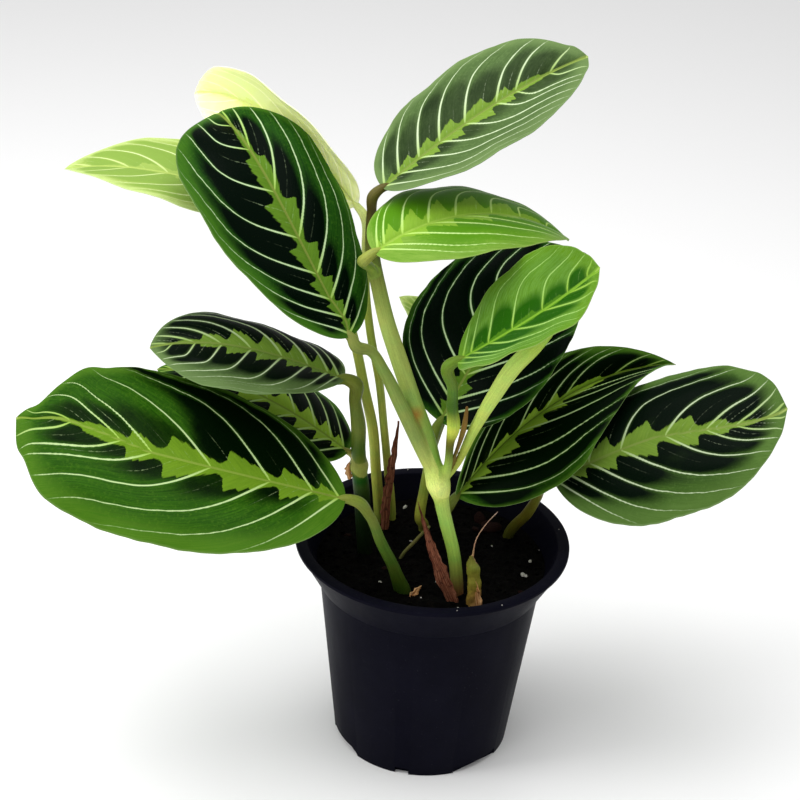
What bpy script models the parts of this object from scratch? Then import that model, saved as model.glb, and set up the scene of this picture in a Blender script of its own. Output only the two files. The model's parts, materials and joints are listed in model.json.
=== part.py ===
"""A prayer plant in a round black nursery pot.

Thirteen leaf blades are carried by eight shoots, which stand in a peat soil that fills a thin
plastic pot. Two dry leaf sheaths, a cut stub and a thin twig stand beside them in the soil.

Sizes are in millimetres and angles in degrees. X runs to the right, Y away from the front and Z up,
and the origin is the centre of the pot's underside.
"""

from dataclasses import dataclass
from math import pi, radians, sin, sqrt

import bmesh
import bpy
import numpy as np
from mathutils import Matrix, Vector, noise

MM = 0.001
GAP = 0.3

# Pot
POT_HEIGHT = 90.3
LIP_RADIUS = 54.0
LIP_RING = 4.5
LIP_EDGE = 1.5
LIP_OVERHANG = 0.9
LIP_ROUND = 0.4
COLLAR_RADIUS = 44.7
COLLAR_HEIGHT = 16.9
COLLAR_STEP = 0.4
BODY_TOP_RADIUS = 43.8
BASE_RADIUS = 35.2
FOOT_ROUND = 0.8
WALL = 1.2
FLOOR = 1.6
POT_FACETS = 48

# Drain notches round the foot: middle direction and width, both as angles
NOTCH_HEIGHT = 3.0
NOTCH_DEPTH = 2.2
NOTCH_BLOCK = 8.0
WIDE_NOTCHES = (48, 152, 208, 312)
NARROW_NOTCHES = (80, 260)
WIDE_ANGLE = 36
NARROW_ANGLE = 9

# Soil
SOIL_LEVEL = 80.0
SOIL_FACETS = 32
SOIL_RINGS = 7
LUMP_HEIGHT = 1.3
LUMP_SIZE = 7.0
FLAT_MARGIN = 1.0
ROOT_DEPTH = 18.0

# Blades
BLADE_THICKNESS = 0.7
KEEL = 0.7
WAVE_HEIGHT = 0.5
WAVES = 3.5
BLADE_STATIONS = 18
BLADE_COLUMNS = 8
MIDRIB_STEPS = 240
TIP_START = 0.35
STALK_GAP = 0.35

# Stems
STEM_STEP = 6.0
STEM_ROUNDNESS = 2


@dataclass
class Leaf:
    """One blade: how its midrib runs, and how each half stands off from it."""

    name: str
    base: tuple
    heading: float
    rise: float
    droop: float
    length: float
    width: float
    roll: float = 0
    twist: float = 0
    sweep: float = 0
    bend: float = 1.6
    folds: tuple = (10, 10)
    curls: tuple = (-12, -12)
    shoulder: float = 0.4
    blunt: float = 2.6
    uneven: float = 0
    colour: str = "#123a10"
    stations: int = BLADE_STATIONS
    columns: int = BLADE_COLUMNS


# Heading turns from +X towards +Y. The midrib rises from the horizontal at its base, droops by the
# tip and sweeps sideways. The blade rolls about it and twists further by the tip. Folds lift the
# left and right halves beside the midrib, and curls bend them on towards the edge.
LEAVES = (
    Leaf("leaf_lower_left", base=(-33, -38, 128), heading=185, rise=13, droop=2, length=124, width=72,
         roll=-17, twist=-19, sweep=-8, folds=(6, -6), curls=(-22, 11), shoulder=0.46, blunt=4.4),
    Leaf("leaf_behind_lower_left", base=(-34.5, 0, 126.3), heading=165, rise=31, droop=43, length=85,
         width=52, roll=-10, twist=-2, sweep=-2, bend=1.4, folds=(6, -4), curls=(-12, -20), shoulder=0.42),
    Leaf("leaf_small_left", base=(-37, -6, 161), heading=177, rise=18, droop=39, length=76, width=50,
         roll=-7, twist=-26, sweep=-1, bend=1.8, folds=(20, 16), curls=(-33, -85), shoulder=0.45,
         blunt=3.4, uneven=-0.05),
    Leaf("leaf_upper_left", base=(-34, -32, 192), heading=145, rise=48, droop=56, length=108, width=60,
         twist=-18, sweep=-26, bend=2.7, folds=(13, 13), curls=(0, -32), shoulder=0.43, blunt=3.9,
         uneven=0.15),
    Leaf("leaf_pale_left", base=(-57, 14, 217), heading=173, rise=18, droop=32, length=92, width=48,
         roll=-10, twist=5, sweep=1, folds=(13, 13), curls=(-13, -13), colour="#a9c878"),
    Leaf("leaf_young_pale", base=(-36, 12, 224), heading=142, rise=34, droop=56, length=93, width=43,
         roll=-43, sweep=-2, folds=(18, 51), curls=(20, 50), shoulder=0.39, blunt=2.7, uneven=0.03,
         colour="#d8e69a"),
    Leaf("leaf_top_right", base=(-26, -8, 240), heading=24, rise=37, droop=21, length=89, width=52,
         roll=9, twist=19, sweep=1, folds=(16, 21), curls=(-34, -18), shoulder=0.42, blunt=3.3,
         uneven=0.03),
    Leaf("leaf_mid_right", base=(-27, -31, 225), heading=24, rise=35, droop=76, length=85, width=48,
         roll=21, twist=-13, sweep=8, bend=0.9, folds=(7, 17), curls=(-41, -28), shoulder=0.42,
         blunt=2.9, uneven=0.05, colour="#6f9f2a"),
    Leaf("leaf_curled_right", base=(5, -43, 191), heading=-10, rise=39, droop=-13, length=66, width=45,
         roll=15, twist=37, sweep=-15, folds=(5, 8), curls=(10, 30), shoulder=0.41, blunt=3.8,
         uneven=0.06, colour="#6f9f2a"),
    Leaf("leaf_back_dark", base=(0, 4, 140), heading=35, rise=60, droop=68, length=96, width=64,
         roll=14, twist=1, sweep=14, bend=1.7, folds=(5, 3), curls=(9, -8), shoulder=0.37, blunt=2.1,
         uneven=0.06),
    Leaf("leaf_right_long", base=(8, -6, 113), heading=46, rise=36, droop=46, length=115, width=58,
         roll=31, twist=-38, sweep=-18, bend=1.3, folds=(80, 24), curls=(-10, -19), shoulder=0.39,
         blunt=1.4, uneven=-0.17),
    Leaf("leaf_far_right", base=(45, 2, 119), heading=9, rise=27, droop=11, length=94, width=65,
         roll=29, twist=11, sweep=-13, bend=1.4, folds=(6, 6), curls=(-44, -22), blunt=4.1,
         uneven=-0.02),
    Leaf("leaf_hidden_back", base=(10, 36, 149), heading=160, rise=45, droop=27, length=39, width=22,
         roll=-10, twist=-2, sweep=-4, folds=(11, 12), colour="#a9c878", stations=12, columns=4),
)

# Dry leaf sheaths, curled round where a stalk once stood
SHEATHS = (
    Leaf("sheath_left", base=(-19, 20, 75), heading=-46, rise=86, droop=0, length=57, width=5,
         folds=(35, 35), curls=(60, 60), shoulder=0.25, blunt=1.6, colour="#6e3a2a", stations=10, columns=4),
    Leaf("sheath_front", base=(6.3, -26.4, 75), heading=208, rise=78, droop=6, length=52, width=4.6,
         folds=(25, 25), curls=(50, 50), shoulder=0.7, blunt=2.4, colour="#8f5636", stations=10, columns=4),
)
SHEATH_HOLE = 3.1
SHEATH_HOLE_LENGTH = 12.0
SHEATH_HOLE_SPARE = 1.0

# Stems: points of each stalk as x, y, z and radius
LOWER_LEFT = ((-10.3, -23.5, 80, 3.2), (-14.3, -27, 93, 2.9), (-19.2, -30, 105, 2.4), (-24, -34, 119, 2.1))
LEFT = ((-26.3, 2, 80, 3.2), (-27.8, 2, 97, 3.2), (-29, 1, 111, 3.3), (-30.2, 0, 120.5, 3.8),
        (-30.6, -2, 128, 2.9), (-31, -2.5, 139.5, 2.9), (-32.6, -4, 151, 2.5))
LEFT_SIDE = ((-29, -0.6, 119, 1.5),)
PALE_LEFT = ((-22, 26, 80, 2.2), (-24.3, 23, 105.5, 2.1), (-26.4, 21, 126, 2.1), (-30.2, 19, 144, 2),
             (-33.8, 18, 161, 1.9), (-41, 17, 185, 1.8), (-49, 15.5, 204, 1.7))
YOUNG = ((-17, 28, 80, 1.7), (-19.8, 26, 106, 1.7), (-22, 22.2, 126, 1.6), (-24.5, 19, 147, 1.6),
         (-29, 16, 171, 1.6), (-31.2, 14, 189, 1.5), (-32, 13, 206, 1.5))
MAIN = ((10.9, -23.6, 80, 2.5), (8.2, -25, 100.5, 2.5), (5, -26, 112.5, 2.6), (2.7, -26, 122, 3.2),
        (1, -26, 128, 4.4), (-0.9, -25.5, 134, 3.6), (-4.4, -24, 147.5, 3.3), (-10.5, -22, 162.5, 3.2),
        (-16.5, -20, 178, 3.2), (-22, -17.5, 192.5, 3), (-25.1, -15, 203, 2.8), (-28, -11, 213, 2.7),
        (-29.2, -9, 224, 2.2), (-29.5, -8.4, 231, 1.8))
MAIN_TO_MID_RIGHT = ((-27, -12.5, 208, 1.8), (-29, -19, 214, 1.9), (-31, -27.5, 219.5, 1.9))
MAIN_TO_UPPER_LEFT = ((0, -26.5, 131, 2), (-8.4, -27, 150, 2.8), (-15, -28, 164, 2.6),
                      (-21.4, -29.5, 177.5, 2.2), (-27, -31, 186.5, 2))
MAIN_TO_CURLED_RIGHT = ((2, -26, 126, 2), (4, -27, 139, 1.6), (4.3, -29, 150.5, 1.7), (5, -31, 156.5, 2.4),
                        (4.1, -35, 167.5, 2.1), (3.6, -39, 178, 2))
ROLLED_LEAF = ((3, -25, 131, 1.2), (6.8, -24, 137, 1.4), (12.5, -24, 152.5, 2), (18.8, -24, 167, 2.7),
               (25.8, -22, 179.5, 3.1), (32.3, -20, 186.5, 2.8))
ROLLED_LEAF_SHEATH = ((3, -24, 131, 1), (7, -25.5, 145, 1.3), (9, -25.5, 155, 1.1), (9.5, -25.5, 163, 0.6))
BACK = ((-3.6, 21.4, 80, 2.2), (-5.5, 6, 97.5, 2.1), (-4.5, 5, 108.5, 2), (-3, 3.5, 124, 1.9))
BACK_SIDE = ((-3, 5, 122, 1.2), (2, 16, 136, 1.2), (8, 30, 142, 1.2))
RIGHT_LONG = ((6.7, 18, 80, 2.1), (5.3, 4, 95, 2), (4.4, -3, 103, 1.9))
FAR_RIGHT = ((30.5, 21, 80, 2.2), (37, 12, 97, 2.1), (40, 5, 109, 1.9))
STUB = ((17.2, -30, 80, 2.8), (17.2, -30, 86.5, 3), (16.7, -30, 93.5, 2.9), (15.1, -30, 100.5, 2.4))
STUB_FIBRE = ((15.6, -29.5, 97, 0.7), (16.9, -28, 109, 0.6), (20.5, -24, 113.5, 0.6), (24.2, -20, 116, 0.6))
TWIG = ((-12, -0.7, 80, 0.7), (-6.7, -2, 89, 0.7), (-1.6, -6, 98.5, 0.6))

# Swollen joint that ends each stalk: its length, and its radius against the stalk's
JOINT_LENGTH = 4.0
JOINT_SWELL = 1.15
JOINT_END = 0.9


def clear_scene():
    for old in list(bpy.data.objects):
        bpy.data.objects.remove(old, do_unlink=True)


def linear(hex_colour):
    """An sRGB hex value as linear red, green, blue and alpha."""
    parts = [int(hex_colour[i:i + 2], 16) / 255 for i in (1, 3, 5)]
    return [c / 12.92 if c <= 0.04045 else ((c + 0.055) / 1.055) ** 2.4 for c in parts] + [1.0]


def finish(obj, colour, roughness=0.5):
    """Gives an object its own material and smooth shading."""
    mat = bpy.data.materials.new(obj.name)
    mat.use_nodes = True
    shader = mat.node_tree.nodes["Principled BSDF"]
    shader.inputs["Base Color"].default_value = linear(colour)
    shader.inputs["Roughness"].default_value = roughness
    shader.inputs["Metallic"].default_value = 0.0
    mat.diffuse_color = linear(colour)
    obj.data.materials.clear()
    obj.data.materials.append(mat)
    obj.data.shade_smooth()
    obj.data.set_sharp_from_angle(angle=radians(40))
    return obj


def mesh_object(name, bm):
    """Turns a bmesh in millimetres into an object in metres."""
    bmesh.ops.scale(bm, vec=(MM, MM, MM), verts=bm.verts)
    mesh = bpy.data.meshes.new(name)
    bm.to_mesh(mesh)
    bm.free()
    obj = bpy.data.objects.new(name, mesh)
    bpy.context.scene.collection.objects.link(obj)
    return obj


def evaluated_mesh(obj):
    """The mesh that an object shows once its modifiers or curve settings have run."""
    graph = bpy.context.evaluated_depsgraph_get()
    graph.update()
    return bpy.data.meshes.new_from_object(obj.evaluated_get(graph))


def combine(obj, others, operation):
    """Applies one Boolean of a group of objects to an object, then removes the group."""
    group = bpy.data.collections.new("tools")
    bpy.context.scene.collection.children.link(group)
    for other in others:
        bpy.context.scene.collection.objects.unlink(other)
        group.objects.link(other)
    cut = obj.modifiers.new("combined", "BOOLEAN")
    cut.operation = operation
    cut.operand_type = "COLLECTION"
    cut.collection = group
    cut.solver = "EXACT"
    mesh = evaluated_mesh(obj)
    obj.modifiers.clear()
    obj.data = mesh
    for other in others:
        bpy.data.objects.remove(other, do_unlink=True)
    bpy.data.collections.remove(group)
    return obj


def revolve(profile, facets):
    """A closed turned solid from (radius, height) points that start and end on the axis."""
    bm = bmesh.new()
    verts = [bm.verts.new((r, 0, z)) for r, z in profile]
    edges = [bm.edges.new(pair) for pair in zip(verts, verts[1:])]
    bmesh.ops.spin(bm, geom=verts + edges, cent=(0, 0, 0), axis=(0, 0, 1), angle=2 * pi,
                   steps=facets, use_merge=True)
    bmesh.ops.remove_doubles(bm, verts=bm.verts, dist=1e-4)
    bmesh.ops.recalc_face_normals(bm, faces=bm.faces)
    return bm


def inside_profile():
    """The pot's inner wall from the floor up, as (radius, height)."""
    foot = (BASE_RADIUS - WALL, FLOOR)
    shoulder = (BODY_TOP_RADIUS - WALL, POT_HEIGHT - COLLAR_HEIGHT)
    mouth = (LIP_RADIUS - LIP_RING, POT_HEIGHT - 2 * LIP_ROUND)
    return [foot, shoulder, mouth]


def notch_cutter(direction, width):
    """A block that cuts the foot along a chord, from outside."""
    bm = bmesh.new()
    bmesh.ops.create_cube(bm, size=1)
    inner = BASE_RADIUS - NOTCH_DEPTH
    span = 2 * BASE_RADIUS * sin(radians(width / 2))
    turn = Matrix.Rotation(radians(direction), 3, "Z")
    bmesh.ops.scale(bm, vec=(NOTCH_BLOCK, span, 2 * NOTCH_HEIGHT), verts=bm.verts)
    bmesh.ops.translate(bm, vec=(inner + NOTCH_BLOCK / 2, 0, 0), verts=bm.verts)
    bmesh.ops.rotate(bm, cent=(0, 0, 0), matrix=turn, verts=bm.verts)
    return mesh_object("notch", bm)


def make_pot():
    """A thin tapered wall with a flared collar under a flat lip, and a flat floor."""
    collar_foot = POT_HEIGHT - COLLAR_HEIGHT
    outside = [
        (0, 0),
        (BASE_RADIUS - FOOT_ROUND, 0),
        (BASE_RADIUS, FOOT_ROUND),
        (BODY_TOP_RADIUS, collar_foot - COLLAR_STEP),
        (COLLAR_RADIUS, collar_foot),
        (LIP_RADIUS - LIP_OVERHANG, POT_HEIGHT - LIP_EDGE - LIP_ROUND),
        (LIP_RADIUS, POT_HEIGHT - LIP_EDGE),
        (LIP_RADIUS, POT_HEIGHT - LIP_ROUND),
        (LIP_RADIUS - LIP_ROUND, POT_HEIGHT),
        (LIP_RADIUS - LIP_RING + LIP_ROUND, POT_HEIGHT),
    ]
    inside = inside_profile()[::-1] + [(0, FLOOR)]
    pot = mesh_object("pot", revolve(outside + inside, POT_FACETS))
    cutters = [notch_cutter(direction, WIDE_ANGLE) for direction in WIDE_NOTCHES]
    cutters += [notch_cutter(direction, NARROW_ANGLE) for direction in NARROW_NOTCHES]
    combine(pot, cutters, "DIFFERENCE")
    return finish(pot, "#17171d", roughness=0.42)


def soil_relief(x, y):
    """Height of the crumbly surface above the soil's mean level."""
    coarse = noise.noise(Vector((x, y, 3.0)) / LUMP_SIZE)
    fine = noise.noise(Vector((x, y, 9.0)) / (0.4 * LUMP_SIZE))
    return LUMP_HEIGHT * (coarse + 0.5 * fine)


def make_soil(standing):
    """Fills the pot to its level, with a plain hole round everything that stands in it."""
    foot, shoulder, mouth = inside_profile()
    slope = (mouth[0] - shoulder[0]) / (mouth[1] - shoulder[1])
    rim = shoulder[0] + slope * (SOIL_LEVEL - shoulder[1])
    rings = [(rim - GAP) * k / SOIL_RINGS for k in range(SOIL_RINGS + 1)]
    profile = [(0, foot[1] + GAP), (foot[0] - GAP, foot[1] + GAP), (shoulder[0] - GAP, shoulder[1])]
    profile += [(r, SOIL_LEVEL) for r in rings[::-1]]
    bm = revolve(profile, SOIL_FACETS)
    for vert in bm.verts:
        if vert.co.z > SOIL_LEVEL - GAP and vert.co.xy.length < rim - FLAT_MARGIN:
            vert.co.z += soil_relief(vert.co.x, vert.co.y)
    soil = mesh_object("soil", bm)
    combine(soil, standing, "DIFFERENCE")
    return finish(soil, "#15110e", roughness=0.95)


def direction_of(heading, rise):
    """Unit vectors for a compass heading and a rise, in degrees, as one row each."""
    a, e = np.radians(heading), np.radians(rise)
    return np.stack([np.cos(e) * np.cos(a), np.cos(e) * np.sin(a), np.sin(e)], axis=-1)


def midrib(leaf, along):
    """Points of the midrib and its frame (left side and normal) at shares of its length."""
    share = np.linspace(0, 1, MIDRIB_STEPS + 1)
    ahead = direction_of(leaf.heading + leaf.sweep * share, leaf.rise - leaf.droop * share ** leaf.bend)
    run = np.vstack([np.zeros(3), np.cumsum((ahead[1:] + ahead[:-1]) / 2, axis=0)]) * leaf.length / MIDRIB_STEPS
    points = np.stack([np.interp(along, share, run[:, k]) for k in range(3)], axis=-1) + np.array(leaf.base)
    ahead = direction_of(leaf.heading + leaf.sweep * along, leaf.rise - leaf.droop * along ** leaf.bend)
    level = direction_of(leaf.heading + leaf.sweep * along + 90, 0 * along)
    upright = np.cross(ahead, level)
    lean = np.radians(leaf.roll + leaf.twist * along)[:, None]
    left = np.cos(lean) * level + np.sin(lean) * upright
    normal = np.cos(lean) * upright - np.sin(lean) * level
    return points, left, normal


def half_width(leaf, along):
    """Half of the blade's width: a round base, then a slow run in to the tip."""
    into = np.clip(1 - along / leaf.shoulder, 0, 1)
    out = np.clip((along - TIP_START) / (1 - TIP_START), 0, 1)
    return leaf.width / 2 * np.sqrt(1 - into ** 2) * (1 - out ** leaf.blunt)


def blade_surface(leaf, along, across):
    """Points and normals of the blade. Across runs from -1 at the right edge to 1 at the left."""
    points, left, normal = midrib(leaf, along)
    side = np.where(across >= 0, 1.0, -1.0)
    fold = np.radians(np.where(side > 0, leaf.folds[0], leaf.folds[1]))
    curl = np.radians(np.where(side > 0, leaf.curls[0], leaf.curls[1]))
    half = half_width(leaf, along)
    bend = curl * half / (leaf.width / 2)
    bend = np.where(np.abs(bend) < 1e-4, 1e-4, bend)
    reach = half * (1 + side * leaf.uneven)
    angle = fold + bend * np.abs(across)
    sideways = reach / bend * (np.sin(angle) - np.sin(fold))
    upward = -reach / bend * (np.cos(angle) - np.cos(fold))
    face = np.cos(angle)[:, None] * normal - (side * np.sin(angle))[:, None] * left
    wave = WAVE_HEIGHT * half / (leaf.width / 2) * across ** 2 * np.sin(2 * pi * WAVES * along + 2 * side)
    place = points + (side * sideways)[:, None] * left + upward[:, None] * normal + wave[:, None] * face
    return place, face


def blade_mesh(leaf):
    """A closed blade: a sheet split into triangles, doubled through its thickness."""
    bm = bmesh.new()
    bmesh.ops.create_grid(bm, x_segments=leaf.stations, y_segments=leaf.columns, size=1)
    along_layer = bm.verts.layers.float.new("along")
    across_layer = bm.verts.layers.float.new("across")
    for vert in bm.verts:
        x, y = vert.co.x, vert.co.y
        vert[along_layer] = 0.5 + 0.5 * sin(x * pi / 2)
        vert[across_layer] = y
        vert.co.y = y * sqrt(max(0.0, 1 - x * x))
    bmesh.ops.remove_doubles(bm, verts=bm.verts, dist=1e-5)
    bmesh.ops.triangulate(bm, faces=bm.faces, quad_method="FIXED")
    sheet = bm.verts[:] + bm.edges[:] + bm.faces[:]
    doubled = bmesh.ops.extrude_face_region(bm, geom=sheet, use_keep_orig=True)
    upper = {item for item in doubled["geom"] if isinstance(item, bmesh.types.BMVert)}
    verts = list(bm.verts)
    along = np.array([vert[along_layer] for vert in verts])
    across = np.array([vert[across_layer] for vert in verts])
    place, face = blade_surface(leaf, along, across)
    for k, vert in enumerate(verts):
        offset = BLADE_THICKNESS / 2
        if vert not in upper:
            rib = KEEL * (1 - along[k]) if abs(across[k]) < 0.01 else 0
            offset = -offset - rib
        vert.co = Vector(place[k] + offset * face[k])
    bmesh.ops.recalc_face_normals(bm, faces=bm.faces)
    if bm.calc_volume(signed=True) < 0:
        bmesh.ops.reverse_faces(bm, faces=bm.faces)
    return bm


def make_blade(leaf):
    return finish(mesh_object(leaf.name, blade_mesh(leaf)), leaf.colour, roughness=0.45)


def stalk_to(leaf, points):
    """Ends a stalk with a swollen joint that meets the blade's base end to end."""
    ahead = direction_of(leaf.heading, leaf.rise)
    base = np.array(leaf.base, dtype=float)
    radius = points[-1][3]
    joint = (*(base - JOINT_LENGTH * ahead), radius * JOINT_SWELL)
    end = (*(base - STALK_GAP * ahead), radius * JOINT_END)
    return points + (joint, end)


def rooted(points):
    """Carries a stalk straight down into the soil."""
    x, y, z, radius = points[0]
    return ((x, y, z - ROOT_DEPTH, radius),) + points


def smooth_route(points):
    """A smooth curve through points of x, y, z and radius, read at even steps."""
    p = np.array(points, dtype=float)
    at = np.concatenate([[0], np.cumsum(np.linalg.norm(np.diff(p[:, :3], axis=0), axis=1))])
    slope = np.gradient(p, at, axis=0)
    reads = np.linspace(0, at[-1], max(3, round(at[-1] / STEM_STEP) + 1))
    k = np.clip(np.searchsorted(at, reads, side="right") - 1, 0, len(at) - 2)
    span = (at[k + 1] - at[k])[:, None]
    x = (reads - at[k])[:, None] / span
    return ((2 * x ** 3 - 3 * x ** 2 + 1) * p[k] + (x ** 3 - 2 * x ** 2 + x) * span * slope[k]
            + (3 * x ** 2 - 2 * x ** 3) * p[k + 1] + (x ** 3 - x ** 2) * span * slope[k + 1])


def tube(name, points, grow=0.0):
    """A round stalk along a route, thicker all round by grow."""
    route = smooth_route(points)
    curve = bpy.data.curves.new(name, "CURVE")
    curve.dimensions = "3D"
    curve.bevel_depth = MM
    curve.bevel_resolution = STEM_ROUNDNESS
    curve.use_fill_caps = True
    spline = curve.splines.new("POLY")
    spline.points.add(len(route) - 1)
    for point, (x, y, z, radius) in zip(spline.points, route):
        point.co = (x * MM, y * MM, z * MM, 1)
        point.radius = radius + grow
    guide = bpy.data.objects.new(name, curve)
    bpy.context.scene.collection.objects.link(guide)
    mesh = evaluated_mesh(guide)
    bpy.data.objects.remove(guide, do_unlink=True)
    bm = bmesh.new()
    bm.from_mesh(mesh)
    bmesh.ops.remove_doubles(bm, verts=bm.verts, dist=1e-6)
    bmesh.ops.recalc_face_normals(bm, faces=bm.faces)
    bmesh.ops.scale(bm, vec=(1 / MM, 1 / MM, 1 / MM), verts=bm.verts)
    return mesh_object(name, bm)


def hole_round(points):
    """The hole that a rooted stalk needs in the soil."""
    x, y, z, radius = points[0]
    return tube("hole", ((x, y, z - GAP, radius),) + points, grow=GAP)


def make_shoot(name, stalks, colour):
    """One shoot: its first stalk with the others fused to it. Gives back the shoot and its hole."""
    trunk = tube(name, stalks[0])
    branches = [tube("branch", points) for points in stalks[1:]]
    if branches:
        combine(trunk, branches, "UNION")
    return finish(trunk, colour), hole_round(stalks[0])


def sheath_hole(leaf):
    """A plain round hole for a dry sheath."""
    ahead = direction_of(leaf.heading, leaf.rise)
    bottom = np.array(leaf.base) - SHEATH_HOLE_SPARE * ahead
    top = bottom + SHEATH_HOLE_LENGTH * ahead
    return tube("hole", ((*bottom, SHEATH_HOLE), (*top, SHEATH_HOLE)))


def make_stems():
    """All shoots and the small things beside them, with the holes that they stand in."""
    leaf = {one.name: one for one in LEAVES}
    shoots = {
        "stem_lower_left": ([stalk_to(leaf["leaf_lower_left"], rooted(LOWER_LEFT))], "#5f7a22"),
        "stem_left": ([stalk_to(leaf["leaf_small_left"], rooted(LEFT)),
                       stalk_to(leaf["leaf_behind_lower_left"], LEFT_SIDE)], "#36551a"),
        "stem_pale_left": ([stalk_to(leaf["leaf_pale_left"], rooted(PALE_LEFT))], "#9aa838"),
        "stem_young": ([stalk_to(leaf["leaf_young_pale"], rooted(YOUNG))], "#7f8f30"),
        "stem_main": ([stalk_to(leaf["leaf_top_right"], rooted(MAIN)),
                       stalk_to(leaf["leaf_mid_right"], MAIN_TO_MID_RIGHT),
                       stalk_to(leaf["leaf_upper_left"], MAIN_TO_UPPER_LEFT),
                       stalk_to(leaf["leaf_curled_right"], MAIN_TO_CURLED_RIGHT),
                       ROLLED_LEAF, ROLLED_LEAF_SHEATH], "#9dbb55"),
        "stem_back": ([stalk_to(leaf["leaf_back_dark"], rooted(BACK)),
                       stalk_to(leaf["leaf_hidden_back"], BACK_SIDE)], "#8a9a3a"),
        "stem_right_long": ([stalk_to(leaf["leaf_right_long"], rooted(RIGHT_LONG))], "#4f6a20"),
        "stem_far_right": ([stalk_to(leaf["leaf_far_right"], rooted(FAR_RIGHT))], "#4f6a20"),
        "stub": ([rooted(STUB), STUB_FIBRE], "#8a8a30"),
        "twig": ([rooted(TWIG)], "#6d6a2c"),
    }
    return [make_shoot(name, stalks, colour)[1] for name, (stalks, colour) in shoots.items()]


def main():
    clear_scene()
    make_pot()
    holes = make_stems()
    for sheath in SHEATHS:
        make_blade(sheath)
        holes.append(sheath_hole(sheath))
    make_soil(holes)
    for leaf in LEAVES:
        make_blade(leaf)


main()
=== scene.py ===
"""Looks of a prayer plant in a round black nursery pot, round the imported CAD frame.

Sizes are in millimetres and angles in degrees. X runs to the right, Y away from the front and Z up,
and the origin is the centre of the pot's underside. Meshes are turned to metres at the end.
"""

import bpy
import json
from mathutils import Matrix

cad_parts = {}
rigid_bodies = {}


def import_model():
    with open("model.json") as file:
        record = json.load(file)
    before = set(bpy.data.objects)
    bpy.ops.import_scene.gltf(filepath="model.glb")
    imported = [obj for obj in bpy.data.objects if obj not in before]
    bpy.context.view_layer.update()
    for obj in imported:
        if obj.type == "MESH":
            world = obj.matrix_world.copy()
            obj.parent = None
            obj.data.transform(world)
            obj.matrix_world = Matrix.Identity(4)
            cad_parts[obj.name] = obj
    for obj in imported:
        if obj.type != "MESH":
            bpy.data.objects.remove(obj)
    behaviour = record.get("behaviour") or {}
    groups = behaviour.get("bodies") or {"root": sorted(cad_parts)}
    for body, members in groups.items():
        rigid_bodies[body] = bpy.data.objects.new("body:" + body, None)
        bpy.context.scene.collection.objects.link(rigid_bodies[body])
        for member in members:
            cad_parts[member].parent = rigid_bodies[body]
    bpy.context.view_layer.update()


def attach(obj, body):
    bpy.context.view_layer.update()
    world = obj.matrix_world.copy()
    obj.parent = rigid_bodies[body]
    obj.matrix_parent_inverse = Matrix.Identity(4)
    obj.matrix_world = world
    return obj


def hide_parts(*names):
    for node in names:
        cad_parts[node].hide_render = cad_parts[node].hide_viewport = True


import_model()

import json
import random
from dataclasses import dataclass
from math import cos, pi, radians, sin, sqrt

import bmesh
import bpy
import numpy as np
from mathutils import Euler, Matrix, Vector, noise
from mathutils.kdtree import KDTree

MM = 0.001
SEED = 11
EASED = {"interpolation_type": "SMOOTHSTEP"}

# Camera, fitted to the pot's lip, collar and foot
CAMERA_PLACE = (0.0, -707.2, 531.6)
CAMERA_YAW = -1.275
CAMERA_PITCH = 28.32
CAMERA_ROLL = 3.2
CAMERA_LENS = 95.13

# Stage
FLOOR_HALF = 3000
LIT = (0, 0, 140)

# Pot
POT_HEIGHT = 90.3
LIP_RADIUS = 54.0
LIP_RING = 4.5
LIP_EDGE = 1.5
LIP_OVERHANG = 0.9
COLLAR_RADIUS = 44.7
COLLAR_HEIGHT = 16.9
COLLAR_STEP = 0.4
BODY_TOP_RADIUS = 43.8
BASE_RADIUS = 35.2
WALL = 1.2
FLOOR = 1.6
POT_FACETS = 192
EDGE_ROUND = 0.35
NOTCH_HEIGHT = 3.0
NOTCH_DEPTH = 2.2
NOTCH_BLOCK = 8.0
WIDE_NOTCHES = (48, 152, 208, 312)
NARROW_NOTCHES = (80, 260)
WIDE_ANGLE = 36
NARROW_ANGLE = 9

# Soil
SOIL_LEVEL = 80.0
SOIL_FACETS = 240
SOIL_RINGS = 110
LUMP_HEIGHT = 1.3
LUMP_SIZE = 7.0
CRUMB_HEIGHT = 0.55
CRUMB_SIZE = 1.5
FLAT_MARGIN = 1.0
GAP = 0.3
CRUMBS = 420
CRUMB_REACH = 44
CRUMB_SIZES = (0.4, 1.3)

# Blades
BLADE_THICKNESS = 0.5
STATIONS = 150
COLUMNS = 64
MIDRIB_STEPS = 240
TIP_START = 0.35
WAVE_HEIGHT = 0.5
WAVES = 3.5
QUILT = 0.4
GROOVE = 0.35
RIB = 0.8
EDGING = 4.5
LOWER_GLOSS = 0.6

# Stems
STEM_STEP = 0.8
STEM_SIDES = 32
ROOT_DEPTH = 18.0
JOINT_LENGTH = 4.0
JOINT_SWELL = 1.15
JOINT_END = 0.9
TAIL_REACH = (2.5, 7.0, 13.0)
TAIL_TAPER = (0.75, 0.5, 0.2)
REMESH = 0.36
STUB_TOP = 101
SHEATH_THICKNESS = 0.34
WRINKLE = 0.55


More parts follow.
